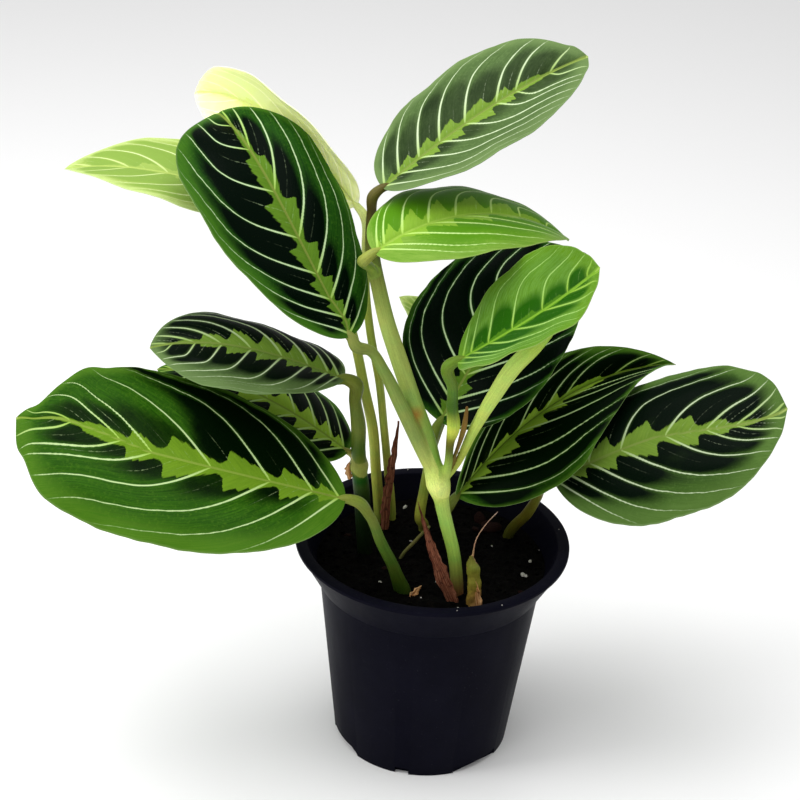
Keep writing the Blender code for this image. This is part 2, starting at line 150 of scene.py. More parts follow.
@dataclass
class Leaf:
    """One blade: the CAD's form, then what is drawn on it.

    Its midrib starts at the base along heading and rise, and turns by sweep and droop on its way, the
    droop late where bend is high. Roll and twist lean it; folds and curls (left, right) lift its
    halves. It is widest at the shoulder, ends bluntly where blunt is high, and uneven widens the left.

    Veins are the shares of the midrib where the main side veins start. A climb holds, for one half,
    how far out a vein at the base gets, how fast that falls off towards the tip, and how far forward
    it runs on the way, at the base and how much more at the tip. Dark holds, for each half, how strong
    the near-black blotches are and how far out they reach, at the base and at the tip. Bands are how
    far out the lime may reach. Margins are the millimetres of paler green along each edge; heels and
    tip are the shares of the length where the pale base ends and the pale tip starts. Drift is how far
    the drawn midrib strays from the fold, as pairs of the share along and the share across. Each
    ripple of the outline has a side (1 is left), a place along, a length along and how far out it
    goes, as a share of the half width. Joint is the colour of the stalk's swollen end.
    """

    name: str
    base: tuple
    heading: float
    rise: float
    droop: float
    length: float
    width: float
    roll: float = 0
    twist: float = 0
    sweep: float = 0
    bend: float = 1.6
    folds: tuple = (10, 10)
    curls: tuple = (-12, -12)
    shoulder: float = 0.4
    blunt: float = 2.6
    uneven: float = 0
    kind: str = "mature"
    veins: tuple = (0.02, 0.09, 0.17, 0.27, 0.4, 0.56, 0.72, 0.87)
    climbs: tuple = ((1.05, 1.1, 0.18, -0.12), (1.05, 0.9, 0.18, -0.05))
    dark: tuple = ((1.0, 0.95, 0.92), (1.0, 0.95, 0.92))
    bands: tuple = (0.2, 0.2)
    drift: tuple = ((0, 0), (1, 0))
    margins: tuple = (4.5, 4.5)
    heels: tuple = (0.03, 0.03)
    tip: float = 1.0
    ripples: tuple = ()
    vein_width: float = 0.5
    joint: str = "#8a8a3a"


# Each starts with its name, base, heading, rise, droop, length, width, roll, twist and sweep
LEAVES = (
    Leaf("leaf_lower_left", (-33, -38, 128), 185, 13, 2, 124, 72, -17, -19, -8, folds=(6, -6),
         curls=(-22, 11), shoulder=0.46, blunt=4.4, veins=(0.02, 0.1, 0.23, 0.41, 0.59, 0.685, 0.84),
         climbs=((1.3, 0.53, 0.25, -0.25), (1.0, 1.45, 0.18, 0.05)),
         dark=((0.78, 0.48, 0.42), (1.0, 1.1, 0.5)), bands=(0.25, 0.24),
         drift=((0, 0), (0.6, 0), (0.9, -0.2), (1, -0.2)), margins=(12, 5), heels=(0.16, 0.09),
         ripples=((1, 0.9, 0.09, 0.18), (-1, 0.86, 0.045, 0.13), (-1, 0.955, 0.025, -0.28),
         (1, 0.985, 0.03, 0.7)), joint="#71802e"),
    Leaf("leaf_behind_lower_left", (-34.5, 0, 126.3), 165, 31, 43, 85, 52, -10, -2, -2, bend=1.4,
         folds=(6, -4), curls=(-12, -20), shoulder=0.42, kind="painted_lit",
         veins=(0.03, 0.1, 0.187, 0.296, 0.44, 0.6, 0.76, 0.9),
         climbs=((1.0, 1.15, 0.2, -0.15), (1.34, 1.19, 0.26, -0.12)), bands=(0.3, 0.3),
         joint="#868a3c"),
    Leaf("leaf_small_left", (-37, -6, 161), 177, 18, 39, 76, 50, -7, -26, -1, bend=1.8,
         folds=(20, 16), curls=(-33, -85), shoulder=0.45, blunt=3.4, uneven=-0.05, kind="grey",
         veins=(0.03, 0.086, 0.19, 0.323, 0.48, 0.628, 0.76, 0.88),
         climbs=((0.87, 1.83, 0.1, -0.11), (0.85, 0.95, 0.19, 0.0)),
         dark=((1.0, 0.8, 0.74), (1.0, 0.95, 0.9)), bands=(0.3, 0.3), margins=(8, 3), joint="#6e7a2c"),
    Leaf("leaf_upper_left", (-34, -32, 192), 145, 48, 56, 108, 60, 0, -18, -26, bend=2.7,
         folds=(13, 13), curls=(0, -32), shoulder=0.43, blunt=3.9, uneven=0.15, kind="deep",
         veins=(0.01, 0.07, 0.14, 0.235, 0.37, 0.55, 0.735, 0.87),
         climbs=((1.11, 1.1, 0.19, -0.2), (1.16, 0.72, 0.18, 0.02)),
         dark=((1.0, 0.88, 0.85), (1.0, 0.6, 0.55)),
         drift=((0, 0), (0.05, -0.12), (0.15, 0), (1, 0)), margins=(9, 4), joint="#77803a"),
    Leaf("leaf_pale_left", (-57, 14, 217), 173, 18, 32, 92, 48, -10, 5, 1, folds=(13, 13),
         curls=(-13, -13), kind="pale", joint="#8fa43c"),
    Leaf("leaf_young_pale", (-36, 12, 224), 142, 34, 56, 93, 43, -43, 0, -2, folds=(18, 51),
         curls=(20, 50), shoulder=0.39, blunt=2.7, uneven=0.03, kind="young", joint="#c4cc78"),
    Leaf("leaf_top_right", (-26, -8, 240), 24, 37, 21, 89, 52, 9, 19, 1, folds=(16, 21),
         curls=(-34, -18), shoulder=0.42, blunt=3.3, uneven=0.03, kind="grey",
         veins=(0.01, 0.086, 0.189, 0.293, 0.418, 0.57, 0.661, 0.82),
         climbs=((1.1, 1.4, 0.19, -0.07), (0.95, 0.95, 0.17, -0.21)),
         dark=((0.6, 0.8, 0.66), (0.55, 0.55, 0.45)), bands=(0.15, 0.27), margins=(6, 8),
         heels=(0.06, 0.06), ripples=((-1, 0.98, 0.03, 0.5), (-1, 0.93, 0.06, 0.12),
         (1, 0.98, 0.025, 0.4)), joint="#565020"),
    Leaf("leaf_mid_right", (-27, -31, 225), 24, 35, 76, 85, 48, 21, -13, 8, bend=0.9, folds=(7, 17),
         curls=(-41, -28), shoulder=0.42, blunt=2.9, uneven=0.05, kind="lime",
         veins=(0.02, 0.052, 0.14, 0.26, 0.384, 0.554, 0.7, 0.85),
         climbs=((1.05, 0.92, 0.15, -0.19), (1.19, 0.54, 0.25, 0.13)),
         dark=((0.9, 1.0, 0.7), (0.9, 0.75, 0.6)), bands=(0.38, 0.32), margins=(3, 6),
         heels=(0.08, 0.32), joint="#8a9440"),
    Leaf("leaf_curled_right", (5, -43, 191), -10, 39, -13, 66, 45, 15, 37, -15, folds=(5, 8),
         curls=(10, 30), shoulder=0.41, blunt=3.8, uneven=0.06, kind="curled",
         veins=(0.03, 0.085, 0.2, 0.362, 0.572, 0.754, 0.9),
         climbs=((1.12, 0.96, 0.11, -0.09), (0.8, 0.9, 0.28, -0.1)),
         dark=((1.0, 0.55, 0.4), (1.0, 0.6, 0.5)), bands=(0.07, 0.07), margins=(6, 6),
         heels=(0.1, 0.06), tip=0.86, ripples=((-1, 0.85, 0.12, 0.25), (1, 0.94, 0.07, 0.2),
         (-1, 0.98, 0.03, 0.5), (1, 0.985, 0.025, 0.6)), joint="#5f7a1e"),
    Leaf("leaf_back_dark", (0, 4, 140), 35, 60, 68, 96, 64, 14, 1, 14, bend=1.7, folds=(5, 3),
         curls=(9, -8), shoulder=0.37, blunt=2.1, uneven=0.06, kind="deep",
         veins=(0.03, 0.098, 0.214, 0.367, 0.5, 0.65, 0.8),
         climbs=((1.02, 0.91, 0.16, -0.15), (1.22, 1.02, 0.29, 0.07)),
         dark=((1.0, 1.1, 1.0), (1.0, 1.1, 1.0)), margins=(2.5, 2), joint="#6a7a28"),
    Leaf("leaf_right_long", (8, -6, 113), 46, 36, 46, 115, 58, 31, -38, -18, bend=1.3,
         folds=(80, 24), curls=(-10, -19), shoulder=0.39, blunt=1.4, uneven=-0.17, kind="painted_lit",
         veins=(0.014, 0.074, 0.159, 0.309, 0.438, 0.518, 0.732, 0.86),
         climbs=((0.9, 0.97, 0.14, -0.05), (1.07, 0.5, 0.18, 0.02)),
         dark=((1.0, 1.0, 0.8), (1.0, 1.1, 1.0)), margins=(4, 2), joint="#5f6a24"),
    Leaf("leaf_far_right", (45, 2, 119), 9, 27, 11, 94, 65, 29, 11, -13, bend=1.4, folds=(6, 6),
         curls=(-44, -22), blunt=4.1, uneven=-0.02, kind="darker_grey",
         veins=(0.0, 0.06, 0.163, 0.303, 0.493, 0.66, 0.78, 0.9),
         climbs=((1.07, 0.87, 0.14, 0.01), (1.21, 0.65, 0.27, -0.21)),
         dark=((1.0, 0.95, 0.8), (0.93, 0.74, 0.66)), bands=(0.22, 0.22),
         drift=((0, 0), (0.45, 0.03), (0.85, -0.15), (1, -0.15)), margins=(7, 12), tip=0.9,
         ripples=((1, 0.55, 0.12, -0.06), (1, 0.94, 0.05, 0.25), (-1, 0.93, 0.05, 0.12),
         (1, 0.98, 0.03, 0.5), (-1, 0.98, 0.03, 0.45)), joint="#66621c"),
    Leaf("leaf_hidden_back", (10, 36, 149), 160, 45, 27, 39, 22, -10, -2, -4, folds=(11, 12),
         kind="pale", vein_width=0.3, joint="#9aa23c"),
)

# Dry leaf sheaths, curled round where a stalk once stood
SHEATHS = (
    Leaf("sheath_left", (-19, 20, 75), -46, 86, 0, 57, 7, 0, 0, 0, folds=(20, 20), curls=(60, 60),
         shoulder=0.25, blunt=1.6),
    Leaf("sheath_front", (11.2, -29.6, 75), 186, 68, -7, 53, 6.6, 84, 0, 0, folds=(8, 8),
         curls=(45, 45), shoulder=0.2, blunt=0.85),
)

# Bleached scraps of sheath that still cling to the stub and to two living stalks
HUSKS = (
    Leaf("stub_husk", (19.4, -33.0, 75), 150, 80, -4, 19, 6, 70, 0, 0, folds=(10, 10),
         curls=(70, 70), shoulder=0.2, blunt=1.6),
    Leaf("foot_husk", (-7.4, -26.4, 77), 25, 62, 30, 8, 3.2, 60, 0, 0, folds=(10, 10),
         curls=(60, 60), shoulder=0.3, blunt=1.8),
    Leaf("node_husk", (-33.4, -1.6, 115), 200, 75, -30, 8, 3.4, 80, 0, 0, folds=(10, 10),
         curls=(60, 60), shoulder=0.3, blunt=1.8),
)

# Stalks by CAD node. Each names the blade that it carries, if any, then its points as x, y, z, radius
# and colour, from the soil or from the stalk that it grows out of. Most colours darken low down,
# towards the soil, as painted shade.
SHOOTS = {
    "stem_lower_left": [("leaf_lower_left", (-10.3, -23.5, 80, 3.3, "#2a400e"),
        (-12, -25, 85.5, 2.7, "#385010"), (-14.3, -27, 93, 2.3, "#465f1c"),
        (-19.2, -30, 105, 2.1, "#4c6a20"), (-24, -34, 119, 1.9, "#6c7a30"))],
    # Painted shade: this stalk's colours darken to near black towards the soil
    "stem_left": [("leaf_small_left", (-26.3, 2, 80, 3.2, "#0a1604"), (-27.8, 2, 97, 3.2, "#112406"),
        (-29, 1, 111, 3.2, "#2c420e"), (-29.9, 0.4, 117.5, 3.2, "#4f6a20"),
        (-30.2, 0, 120.5, 3.8, "#9aa44c"), (-30.4, -1, 124, 3.1, "#6a7a2c"),
        (-30.6, -2, 128, 2.9, "#4c6218"), (-31, -2.5, 139.5, 2.9, "#66762c"),
        (-32.6, -4, 151, 2.4, "#6a782c")),
        ("leaf_behind_lower_left", (-29, -0.6, 119, 1.5, "#9aa44c"))],
    "stem_pale_left": [("leaf_pale_left", (-22, 26, 80, 2.2, "#98a644"),
        (-24.3, 23, 105.5, 2.1, "#b0b84c"), (-26.4, 21, 126, 2.1, "#b4bc50"),
        (-30.2, 19, 144, 2, "#a8b44a"), (-33.8, 18, 161, 1.9, "#a6b64c"),
        (-41, 17, 185, 1.8, "#8fa43c"), (-49, 15.5, 204, 1.7, "#8fa840"))],
    "stem_young": [("leaf_young_pale", (-17, 28, 80, 1.7, "#9aa444"),
        (-19.8, 26, 106, 1.7, "#b4b850"), (-22, 22.2, 126, 1.6, "#b0bc50"),
        (-24.5, 19, 147, 1.6, "#a6b24c"), (-29, 16, 171, 1.6, "#9aac44"),
        (-31.2, 14, 189, 1.5, "#a4b450"), (-32, 13, 206, 1.5, "#b4c066"))],
    "stem_main": [("leaf_top_right", (10.9, -23.6, 80, 2.5, "#7c5a34"),
        (8.2, -25, 100.5, 2.5, "#93b84a"), (5, -26, 112.5, 2.6, "#9dc252"),
        (3.2, -26, 119.5, 2.7, "#a4c458"), (2.4, -26, 123.5, 3.0, "#b0ca5c"),
        (1.7, -26, 127, 4.0, "#d0e070"), (0.9, -26, 130, 4.6, "#dcec7c"),
        (0, -25.9, 133, 4.3, "#c8dc6c"), (-1.3, -25.4, 136.5, 3.7, "#98b84e"),
        (-4.4, -24, 147.5, 3.3, "#84a546"), (-10.5, -22, 162.5, 3.2, "#8fab50"),
        (-16.5, -20, 178, 3.2, "#a3b65a"), (-22, -17.5, 192.5, 3, "#a8b85c"),
        (-25.1, -15, 203, 2.8, "#98a850"), (-28, -11, 213, 2.7, "#6f7a34"),
        (-29.2, -9, 224, 2.2, "#4f4d1e"), (-29.5, -8.4, 231, 1.8, "#4a4418")),
        ("leaf_mid_right", (-27, -12.5, 208, 1.8, "#8fa84a"), (-29, -19, 214, 1.9, "#86a040"),
        (-31, -27.5, 219.5, 1.9, "#7f963c")),
        ("leaf_upper_left", (0, -26.5, 131, 2, "#d0e070"), (-8.4, -27, 150, 2.8, "#86984a"),
        (-15, -28, 164, 2.6, "#809446"), (-21.4, -29.5, 177.5, 2.2, "#7a8e40"),
        (-27, -31, 186.5, 2, "#788a3c")),
        ("leaf_curled_right", (2, -26, 126, 2, "#d8e878"), (4, -27, 139, 1.6, "#8fae48"),
        (4.3, -29, 150.5, 1.7, "#6a6a1c"), (5, -31, 156.5, 2.4, "#bccc4c"),
        (4.1, -35, 167.5, 2.1, "#4a6a18"), (3.6, -39, 178, 2, "#567620")),
        # A rolled new leaf and its dry sheath
        (None, (3, -25, 131, 1.2, "#b8cc60"), (6.8, -24, 137, 1.4, "#a8b84a"),
        (12.5, -24, 152.5, 2, "#b8d05c"), (18.8, -24, 167, 2.7, "#c4dc6a"),
        (25.8, -22, 179.5, 3.1, "#c0d866"), (32.3, -20, 186.5, 2.8, "#a8c850"),
        (37.5, -18.5, 192, 1.6, "#9cc044"), (41, -17.5, 196, 0.4, "#94b840")),
        (None, (3, -24, 131, 0.9, "#7a7a28"), (7, -25.5, 145, 0.8, "#6c5a20"),
        (9, -25.5, 155, 1.1, "#84682c"), (9.5, -25.5, 163, 0.6, "#7a5a2a"))],
    "stem_back": [("leaf_back_dark", (-3.6, 21.4, 80, 2.2, "#7a8030"),
        (-5.5, 6, 97.5, 2.1, "#b0b444"), (-4.5, 5, 108.5, 2, "#8f9c3a"),
        (-3, 3.5, 124, 1.9, "#9aa23c")),
        ("leaf_hidden_back", (-3, 5, 122, 1.2, "#9aa23c"), (2, 16, 136, 1.2, "#94a040"),
        (8, 30, 142, 1.2, "#94a040"))],
    "stem_right_long": [("leaf_right_long", (6.7, 18, 80, 2.1, "#3a4a18"),
        (5.3, 4, 95, 2, "#465a1c"), (4.4, -3, 103, 1.9, "#56682a"))],
    "stem_far_right": [("leaf_far_right", (30.5, 21, 80, 2.2, "#4a4c16"),
        (37, 12, 97, 2.1, "#66621c"), (40, 5, 109, 1.9, "#6a6a24"))],
    "stub": [(None, (17.2, -30, 80, 2.6, "#8a6a30"), (17.2, -30, 86.5, 2.7, "#86782c"),
        (16.7, -30, 93.5, 2.5, "#7c7c2a"), (15.4, -30, 99, 1.9, "#6e7226"),
        (15.1, -30, 101, 0.9, "#5c5c1c")),
        # Its dry fibre
        (None, (15.6, -29.5, 97, 0.5, "#8a6a3c"), (16.9, -28, 109, 0.36, "#a88468"),
        (20.5, -24, 113.5, 0.34, "#b08c74"), (24.2, -20, 116, 0.3, "#c0a494"))],
    "twig": [(None, (-12, -0.7, 80, 0.7, "#5a5a30"), (-6.7, -2, 89, 0.7, "#75703e"),
        (-1.6, -6, 98.5, 0.6, "#6a6838"))],
}

# Marks on the stalks that fade out over a reach: x, y, z, reach, colour and strength
SPOTS = (
    (-9.0, -25.4, 158.5, 4.0, "#a0661e", 0.85),
    (-7.8, -25.8, 154.5, 2.4, "#8a6a2c", 0.5),
    (0.6, -29.5, 130.0, 5.5, "#e6f28a", 1.0),
    (10.0, -24.0, 82.0, 6.0, "#6a3a24", 0.7),
    (-28.5, -37.5, 125.0, 3.0, "#8f6a34", 0.35),
    (19.4, -32.0, 84.0, 5.0, "#c08850", 0.9),
    (19.0, -32.0, 80.0, 3.5, "#c89868", 0.85),
)

# White grains of perlite on the soil, as x, y and size, then a few specks of it on the pot's lip
PERLITE = ((36.4, -7.1, 1.5), (37.6, -8.2, 0.9), (39.2, 2, 1), (30.4, 37.4, 1.4), (29.3, 39.6, 1.1),
           (31.2, 35.4, 1.2), (-19.1, -19.7, 0.9), (3.3, -16.9, 1.3), (11.5, -34, 0.8),
           (-39.8, 0.9, 0.6), (-4.5, -24.5, 0.7), (-2.8, -27.5, 0.5), (43, 12, 0.5), (-8.5, 12.5, 0.6),
           (24, 12, 0.5), (-30, 28, 1), (-12, 38, 1.2), (14, 44, 0.9))
SPECKS = ((27.7, -44.9, 0.4), (11.0, -50.6, 0.3), (-12.0, 51.0, 0.35), (50.0, 12.0, 0.25))
BARK = ((23.9, 24.9, 4.2), (18.9, 32.8, 3.4), (21.8, 28.5, 3.0), (17.4, 23.3, 2.4), (-34.0, 14.0, 2.0),
        (-5.0, 33.0, 2.6), (36.0, -20.0, 1.6), (2.0, 41.0, 2.4), (-18.0, -8.0, 1.6))


def linear(hex_colour):
    """An sRGB hex value as linear red, green, blue and alpha."""
    parts = [int(hex_colour[i:i + 2], 16) / 255 for i in (1, 3, 5)]
    return [c / 12.92 if c <= 0.04045 else ((c + 0.055) / 1.055) ** 2.4 for c in parts] + [1.0]


def add(tree, kind, feeds=(), out=0, stops=(), **settings):
    """Adds a node with its settings and links. Its kind may have an operation behind it. Feeds are
    its inputs in order (those of a noise are its place, W, scale, detail and roughness), or by name
    or number, each a value or the output that it is linked to. Stops are a ramp's places with a
    colour or a grey for each. Gives back one output."""
    kind, _, operation = kind.partition(" ")
    new = tree.nodes.new("ShaderNode" + kind)
    if operation:
        new.operation = operation
    for key, value in settings.items():
        setattr(new, key, value)
    for socket, value in (feeds if isinstance(feeds, dict) else dict(enumerate(feeds))).items():
        if isinstance(value, bpy.types.NodeSocket):
            tree.links.new(value, new.inputs[socket])
        else:
            new.inputs[socket].default_value = linear(value) if isinstance(value, str) else value
    while stops and len(new.color_ramp.elements) < len(stops):
        new.color_ramp.elements.new(1.0)
    for k, (place, colour) in enumerate(stops):
        new.color_ramp.elements[k].position = place
        tone = linear(colour) if isinstance(colour, str) else (colour,) * 3 + (1,)
        new.color_ramp.elements[k].color = tone
    return new.outputs[out]


def lay(tree, colour, coats):
    """Lays coats over a colour, each by its own share, one after another."""
    for share, coat in coats:
        colour = add(tree, "Mix", {0: share, 6: colour, 7: coat}, out=2, data_type="RGBA")
    return colour


def new_material(name, roughness, **constants):
    """A material with its own Principled shader. Gives back the material and its tree."""
    mat = bpy.data.materials.new(name)
    mat.use_nodes = True
    inputs = mat.node_tree.nodes["Principled BSDF"].inputs
    inputs["Roughness"].default_value = roughness
    for socket, value in constants.items():
        inputs[socket.replace("_", " ")].default_value = value
    return mat, mat.node_tree


def dressed(mat, height, strength, depth, **links):
    """Ends a material with a bump from a height, and with what else its shader is linked to."""
    tree = mat.node_tree
    links["Normal"] = add(tree, "Bump", {"Strength": strength, "Distance": depth, "Height": height})
    for socket, output in links.items():
        tree.links.new(output, tree.nodes["Principled BSDF"].inputs[socket.replace("_", " ")])
    return mat


def put(name, data):
    """Links a new object to the scene."""
    thing = bpy.data.objects.new(name, data)
    bpy.context.scene.collection.objects.link(thing)
    return thing


def as_mesh(name, bm):
    """Turns a bmesh into a mesh and frees it."""
    mesh = bpy.data.meshes.new(name)
    bm.to_mesh(mesh)
    bm.free()
    return mesh


def finish(name, bm, nodes, materials, sharp=50):
    """Turns a bmesh in millimetres into a smooth piece that stands for CAD nodes."""
    bmesh.ops.scale(bm, vec=(MM, MM, MM), verts=bm.verts)
    mesh = as_mesh(name, bm)
    for mat in materials:
        mesh.materials.append(mat)
    mesh.shade_smooth()
    mesh.set_sharp_from_angle(angle=radians(sharp))
    piece = put(name, mesh)
    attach(piece, "root")
    if nodes:
        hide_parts(*nodes)


def evaluated(data, modifier=None, **settings):
    """The bmesh that a curve or mesh shows once its settings, and a modifier if any, have run."""
    guide = put("guide", data)
    if modifier:
        added = guide.modifiers.new(modifier, modifier)
        for key, value in settings.items():
            setattr(added, key, value)
    graph = bpy.context.evaluated_depsgraph_get()
    graph.update()
    mesh = bpy.data.meshes.new_from_object(guide.evaluated_get(graph))
    bpy.data.objects.remove(guide, do_unlink=True)
    bm = bmesh.new()
    bm.from_mesh(mesh)
    bpy.data.meshes.remove(mesh)
    return bm


def smooth_step(low, high, value):
    """Eases from 0 at the low value to 1 at the high one."""
    x = np.clip((value - low) / (high - low), 0, 1)
    return x * x * (3 - 2 * x)


# ---------------------------------------------------------------- blades

def direction_of(heading, rise):
    """Unit vectors for a compass heading and a rise, in degrees, as one row each."""
    a, e = np.radians(heading), np.radians(rise)
    return np.stack([np.cos(e) * np.cos(a), np.cos(e) * np.sin(a), np.sin(e)], axis=-1)


def midrib(leaf, along):
    """Points of the midrib and its frame (left side and normal) at shares of its length."""
    share = np.linspace(0, 1, MIDRIB_STEPS + 1)
    ahead = direction_of(leaf.heading + leaf.sweep * share, leaf.rise - leaf.droop * share ** leaf.bend)
    steps = (ahead[1:] + ahead[:-1]) / 2 * leaf.length / MIDRIB_STEPS
    run = np.vstack([np.zeros(3), np.cumsum(steps, axis=0)])
    points = np.stack([np.interp(along, share, way) for way in run.T], axis=-1) + np.array(leaf.base)
    ahead = direction_of(leaf.heading + leaf.sweep * along, leaf.rise - leaf.droop * along ** leaf.bend)
    level = direction_of(leaf.heading + leaf.sweep * along + 90, 0 * along)
    upright = np.cross(ahead, level)
    lean = np.radians(leaf.roll + leaf.twist * along)[:, None]
    left = np.cos(lean) * level + np.sin(lean) * upright
    normal = np.cos(lean) * upright - np.sin(lean) * level
    return points, left, normal


def half_width(leaf, along, side=0):
    """Half of the blade's width on one side (1 is left): a round base, then a slow run to the tip."""
    into = np.clip(1 - along / leaf.shoulder, 0, 1)
    out = np.clip((along - TIP_START) / (1 - TIP_START), 0, 1)
    return leaf.width / 2 * np.sqrt(1 - into ** 2) * (1 - out ** leaf.blunt) * (1 + side * leaf.uneven)


def rippled(leaf, along, side):
    """How much wider or narrower than its plain form the blade is on one side."""
    out = 1 + 0.003 * np.sin(2 * pi * 9 * along + side) + 0.002 * np.sin(2 * pi * 17 * along - 2 * side)
    for ripple_side, place, length, share in leaf.ripples:
        out = out + np.where(side == ripple_side, share * np.exp(-((along - place) / length) ** 2), 0.0)
    return out


def blade_surface(leaf, along, across):
    """Points and normals of the blade. Across runs from -1 at the right edge to 1 at the left."""
    points, left, normal = midrib(leaf, along)
    side = np.where(across >= 0, 1.0, -1.0)
    fold = np.radians(np.where(side > 0, leaf.folds[0], leaf.folds[1]))
    curl = np.radians(np.where(side > 0, leaf.curls[0], leaf.curls[1]))
    half = half_width(leaf, along)
    bend = curl * half / (leaf.width / 2)
    bend = np.where(np.abs(bend) < 1e-4, 1e-4, bend)
    reach = half_width(leaf, along, side) * rippled(leaf, along, side)
    angle = fold + bend * np.abs(across)
    sideways = reach / bend * (np.sin(angle) - np.sin(fold))
    upward = -reach / bend * (np.cos(angle) - np.cos(fold))
    face = np.cos(angle)[:, None] * normal - (side * np.sin(angle))[:, None] * left
    wave = WAVE_HEIGHT * half / (leaf.width / 2) * across ** 2
    wave = wave * np.sin(2 * pi * WAVES * along + 2 * side)
    place = points + (side * sideways)[:, None] * left + upward[:, None] * normal + wave[:, None] * face
    return place, face


def drawn_across(leaf, along, across):
    """Share across from the drawn midrib, which may stray from the fold."""
    stray = np.interp(along, *zip(*leaf.drift))
    return np.where(across >= stray, (across - stray) / (1 - stray), (across - stray) / (1 + stray))


def vein_count(leaf, along, across):
    """Which main side vein passes here: whole numbers are veins, and the rest lies between them.

    A side vein that starts at a share s of the midrib climbs as top(s) * tanh((along - s) / run(s)).
    Its start is found by halving a range of shares.
    """
    side = np.where(across >= 0, 1.0, -1.0)
    height, fall, run, run_more = [np.where(side > 0, a, b) for a, b in zip(*leaf.climbs)]
    edge = leaf.width / 2 * (1 + side * leaf.uneven)
    out = np.abs(across) * half_width(leaf, along, side)
    low, high = along - 1.2, along + 1e-4
    for _ in range(30):
        start = (low + high) / 2
        top = edge * height * (1 - np.clip(start, 0, 1) ** fall - 3 * np.clip(start, -1, 0))
        climb = top * np.tanh((along - start) / np.maximum(run + run_more * start, 0.02))
        low = np.where(climb > out, start, low)
        high = np.where(climb > out, high, start)
    marks = np.array(leaf.veins)
    before = (start - marks[0]) / max(marks[1] - marks[0], 0.06)
    after = len(marks) - 1 + (start - marks[-1]) / (marks[-1] - marks[-2])
    inside = np.interp(start, marks, np.arange(len(marks)))
    return np.where(start < marks[0], before, np.where(start > marks[-1], after, inside))


def vein_spacing(leaf, along, across, count):
    """Millimetres from one main side vein to the next, measured square to them."""
    step = 0.004
    side = np.where(across >= 0, 1.0, -1.0)
    by_along = (vein_count(leaf, along + step, across) - count) / step
    by_across = (vein_count(leaf, along, across + side * step) - count) / (side * step)
    half = half_width(leaf, along, side) + 0.5
    grow = (half_width(leaf, along + step) - half_width(leaf, along)) / step
    forward = (by_along - by_across * across * grow / half) / leaf.length
    sideways = by_across / half
    return 1 / np.sqrt(forward ** 2 + sideways ** 2 + 1e-6)


def blade_marks(leaf, along, across):
    """What the blade's material reads at each point, as rows of nine numbers.

    The vein count, the vein spacing and half the width of a vein, then how far out the point is, how
    far out the lime band may reach and how dark the blotches are, then millimetres from the edge,
    scaled to its margin, and from the midrib, and the vein count on the midrib beside it.
    """
    from_edge = half_width(leaf, along, np.sign(across)) * (1 - np.abs(across))
    heel = np.where(across >= 0, *leaf.heels)
    inside = smooth_step(heel * 0.3, heel, along)
    inside = inside * (1 - smooth_step(leaf.tip - 0.1, leaf.tip + 0.04, along))
    scaled = from_edge * EDGING / np.where(across >= 0, *leaf.margins)
    from_edge = scaled * inside + np.minimum(from_edge, 0.5) * (1 - inside)
    across = drawn_across(leaf, along, across)
    count = vein_count(leaf, along, across)
    spacing = vein_spacing(leaf, along, across, count)
    out = np.abs(across)
    left = across >= 0
    width = leaf.vein_width * (1 - 0.6 * out) * (1 - 0.35 * along)
    width = width * (0.4 + 0.6 * smooth_step(0.0, 0.12, out)) * smooth_step(0.5, 3.0, spacing)
    band = np.where(left, *leaf.bands) * (1 - smooth_step(0.5, 0.92, along))
    band = band * (0.75 + 0.25 * smooth_step(0, 0.15, along))
    strength, limit, far_limit = [np.where(left, a, b) for a, b in zip(*leaf.dark)]
    start = np.interp(count, np.arange(len(leaf.veins)), leaf.veins)
    past = smooth_step(0.22, 0.44, start)
    strength = strength * (1 - 0.5 * past * np.maximum(limit - far_limit, 0))
    limit = limit + (far_limit - limit) * past
    between = np.abs(2 * (count - np.floor(count)) - 1)
    limit = limit + 0.07 * np.sin(2.4 * np.floor(count) + 2 * left) - 0.14 * between ** 3
    dark = strength * (1 - smooth_step(limit - 0.2, limit + 0.04, out))
    dark = dark * smooth_step(heel * 0.5, heel * 1.1 + 0.02, along)
    dark = dark * (1 - smooth_step(0.86, 0.97, along))
    beside = vein_count(leaf, along, np.where(left, 1e-4, -1e-4))
    from_rib = half_width(leaf, along, np.sign(across)) * out
    return np.stack([count, spacing, width, out, band, dark, from_edge, from_rib, beside], axis=-1)


def sheet(stations, columns):
    """A closed double sheet. Gives back its bmesh, the shares along and across, and the upper side."""
    bm = bmesh.new()
    bmesh.ops.create_grid(bm, x_segments=stations, y_segments=columns, size=1)
    along_layer = bm.verts.layers.float.new("along")
    across_layer = bm.verts.layers.float.new("across")
    for vert in bm.verts:
        x, y = vert.co.x, vert.co.y
        vert[along_layer] = 0.5 + 0.5 * sin(x * pi / 2)
        vert[across_layer] = y
        vert.co.y = y * sqrt(max(0.0, 1 - x * x))
    bmesh.ops.remove_doubles(bm, verts=bm.verts, dist=1e-5)
    for face in bm.faces:
        face.material_index = 1
    flat = bm.verts[:] + bm.edges[:] + bm.faces[:]
    doubled = bmesh.ops.extrude_face_region(bm, geom=flat, use_keep_orig=True)["geom"]
    upper = {item for item in doubled if isinstance(item, bmesh.types.BMVert)}
    for item in doubled:
        if isinstance(item, bmesh.types.BMFace):
            item.material_index = 0
    along = np.array([vert[along_layer] for vert in bm.verts])
    across = np.array([vert[across_layer] for vert in bm.verts])
    return bm, along, across, np.array([vert in upper for vert in bm.verts])


def shape_sheet(bm, places, **marks):
    """Moves a sheet's vertices to their places, writes their marks and turns its faces outwards."""
    layers = {name: bm.verts.layers.float_vector.new(name) for name in marks}
    for k, vert in enumerate(bm.verts):
        vert.co = Vector(places[k])
        for name, layer in layers.items():
            vert[layer] = Vector(marks[name][k])
    bmesh.ops.recalc_face_normals(bm, faces=bm.faces)
    if bm.calc_volume(signed=True) < 0:
        bmesh.ops.reverse_faces(bm, faces=bm.faces)
    return bm


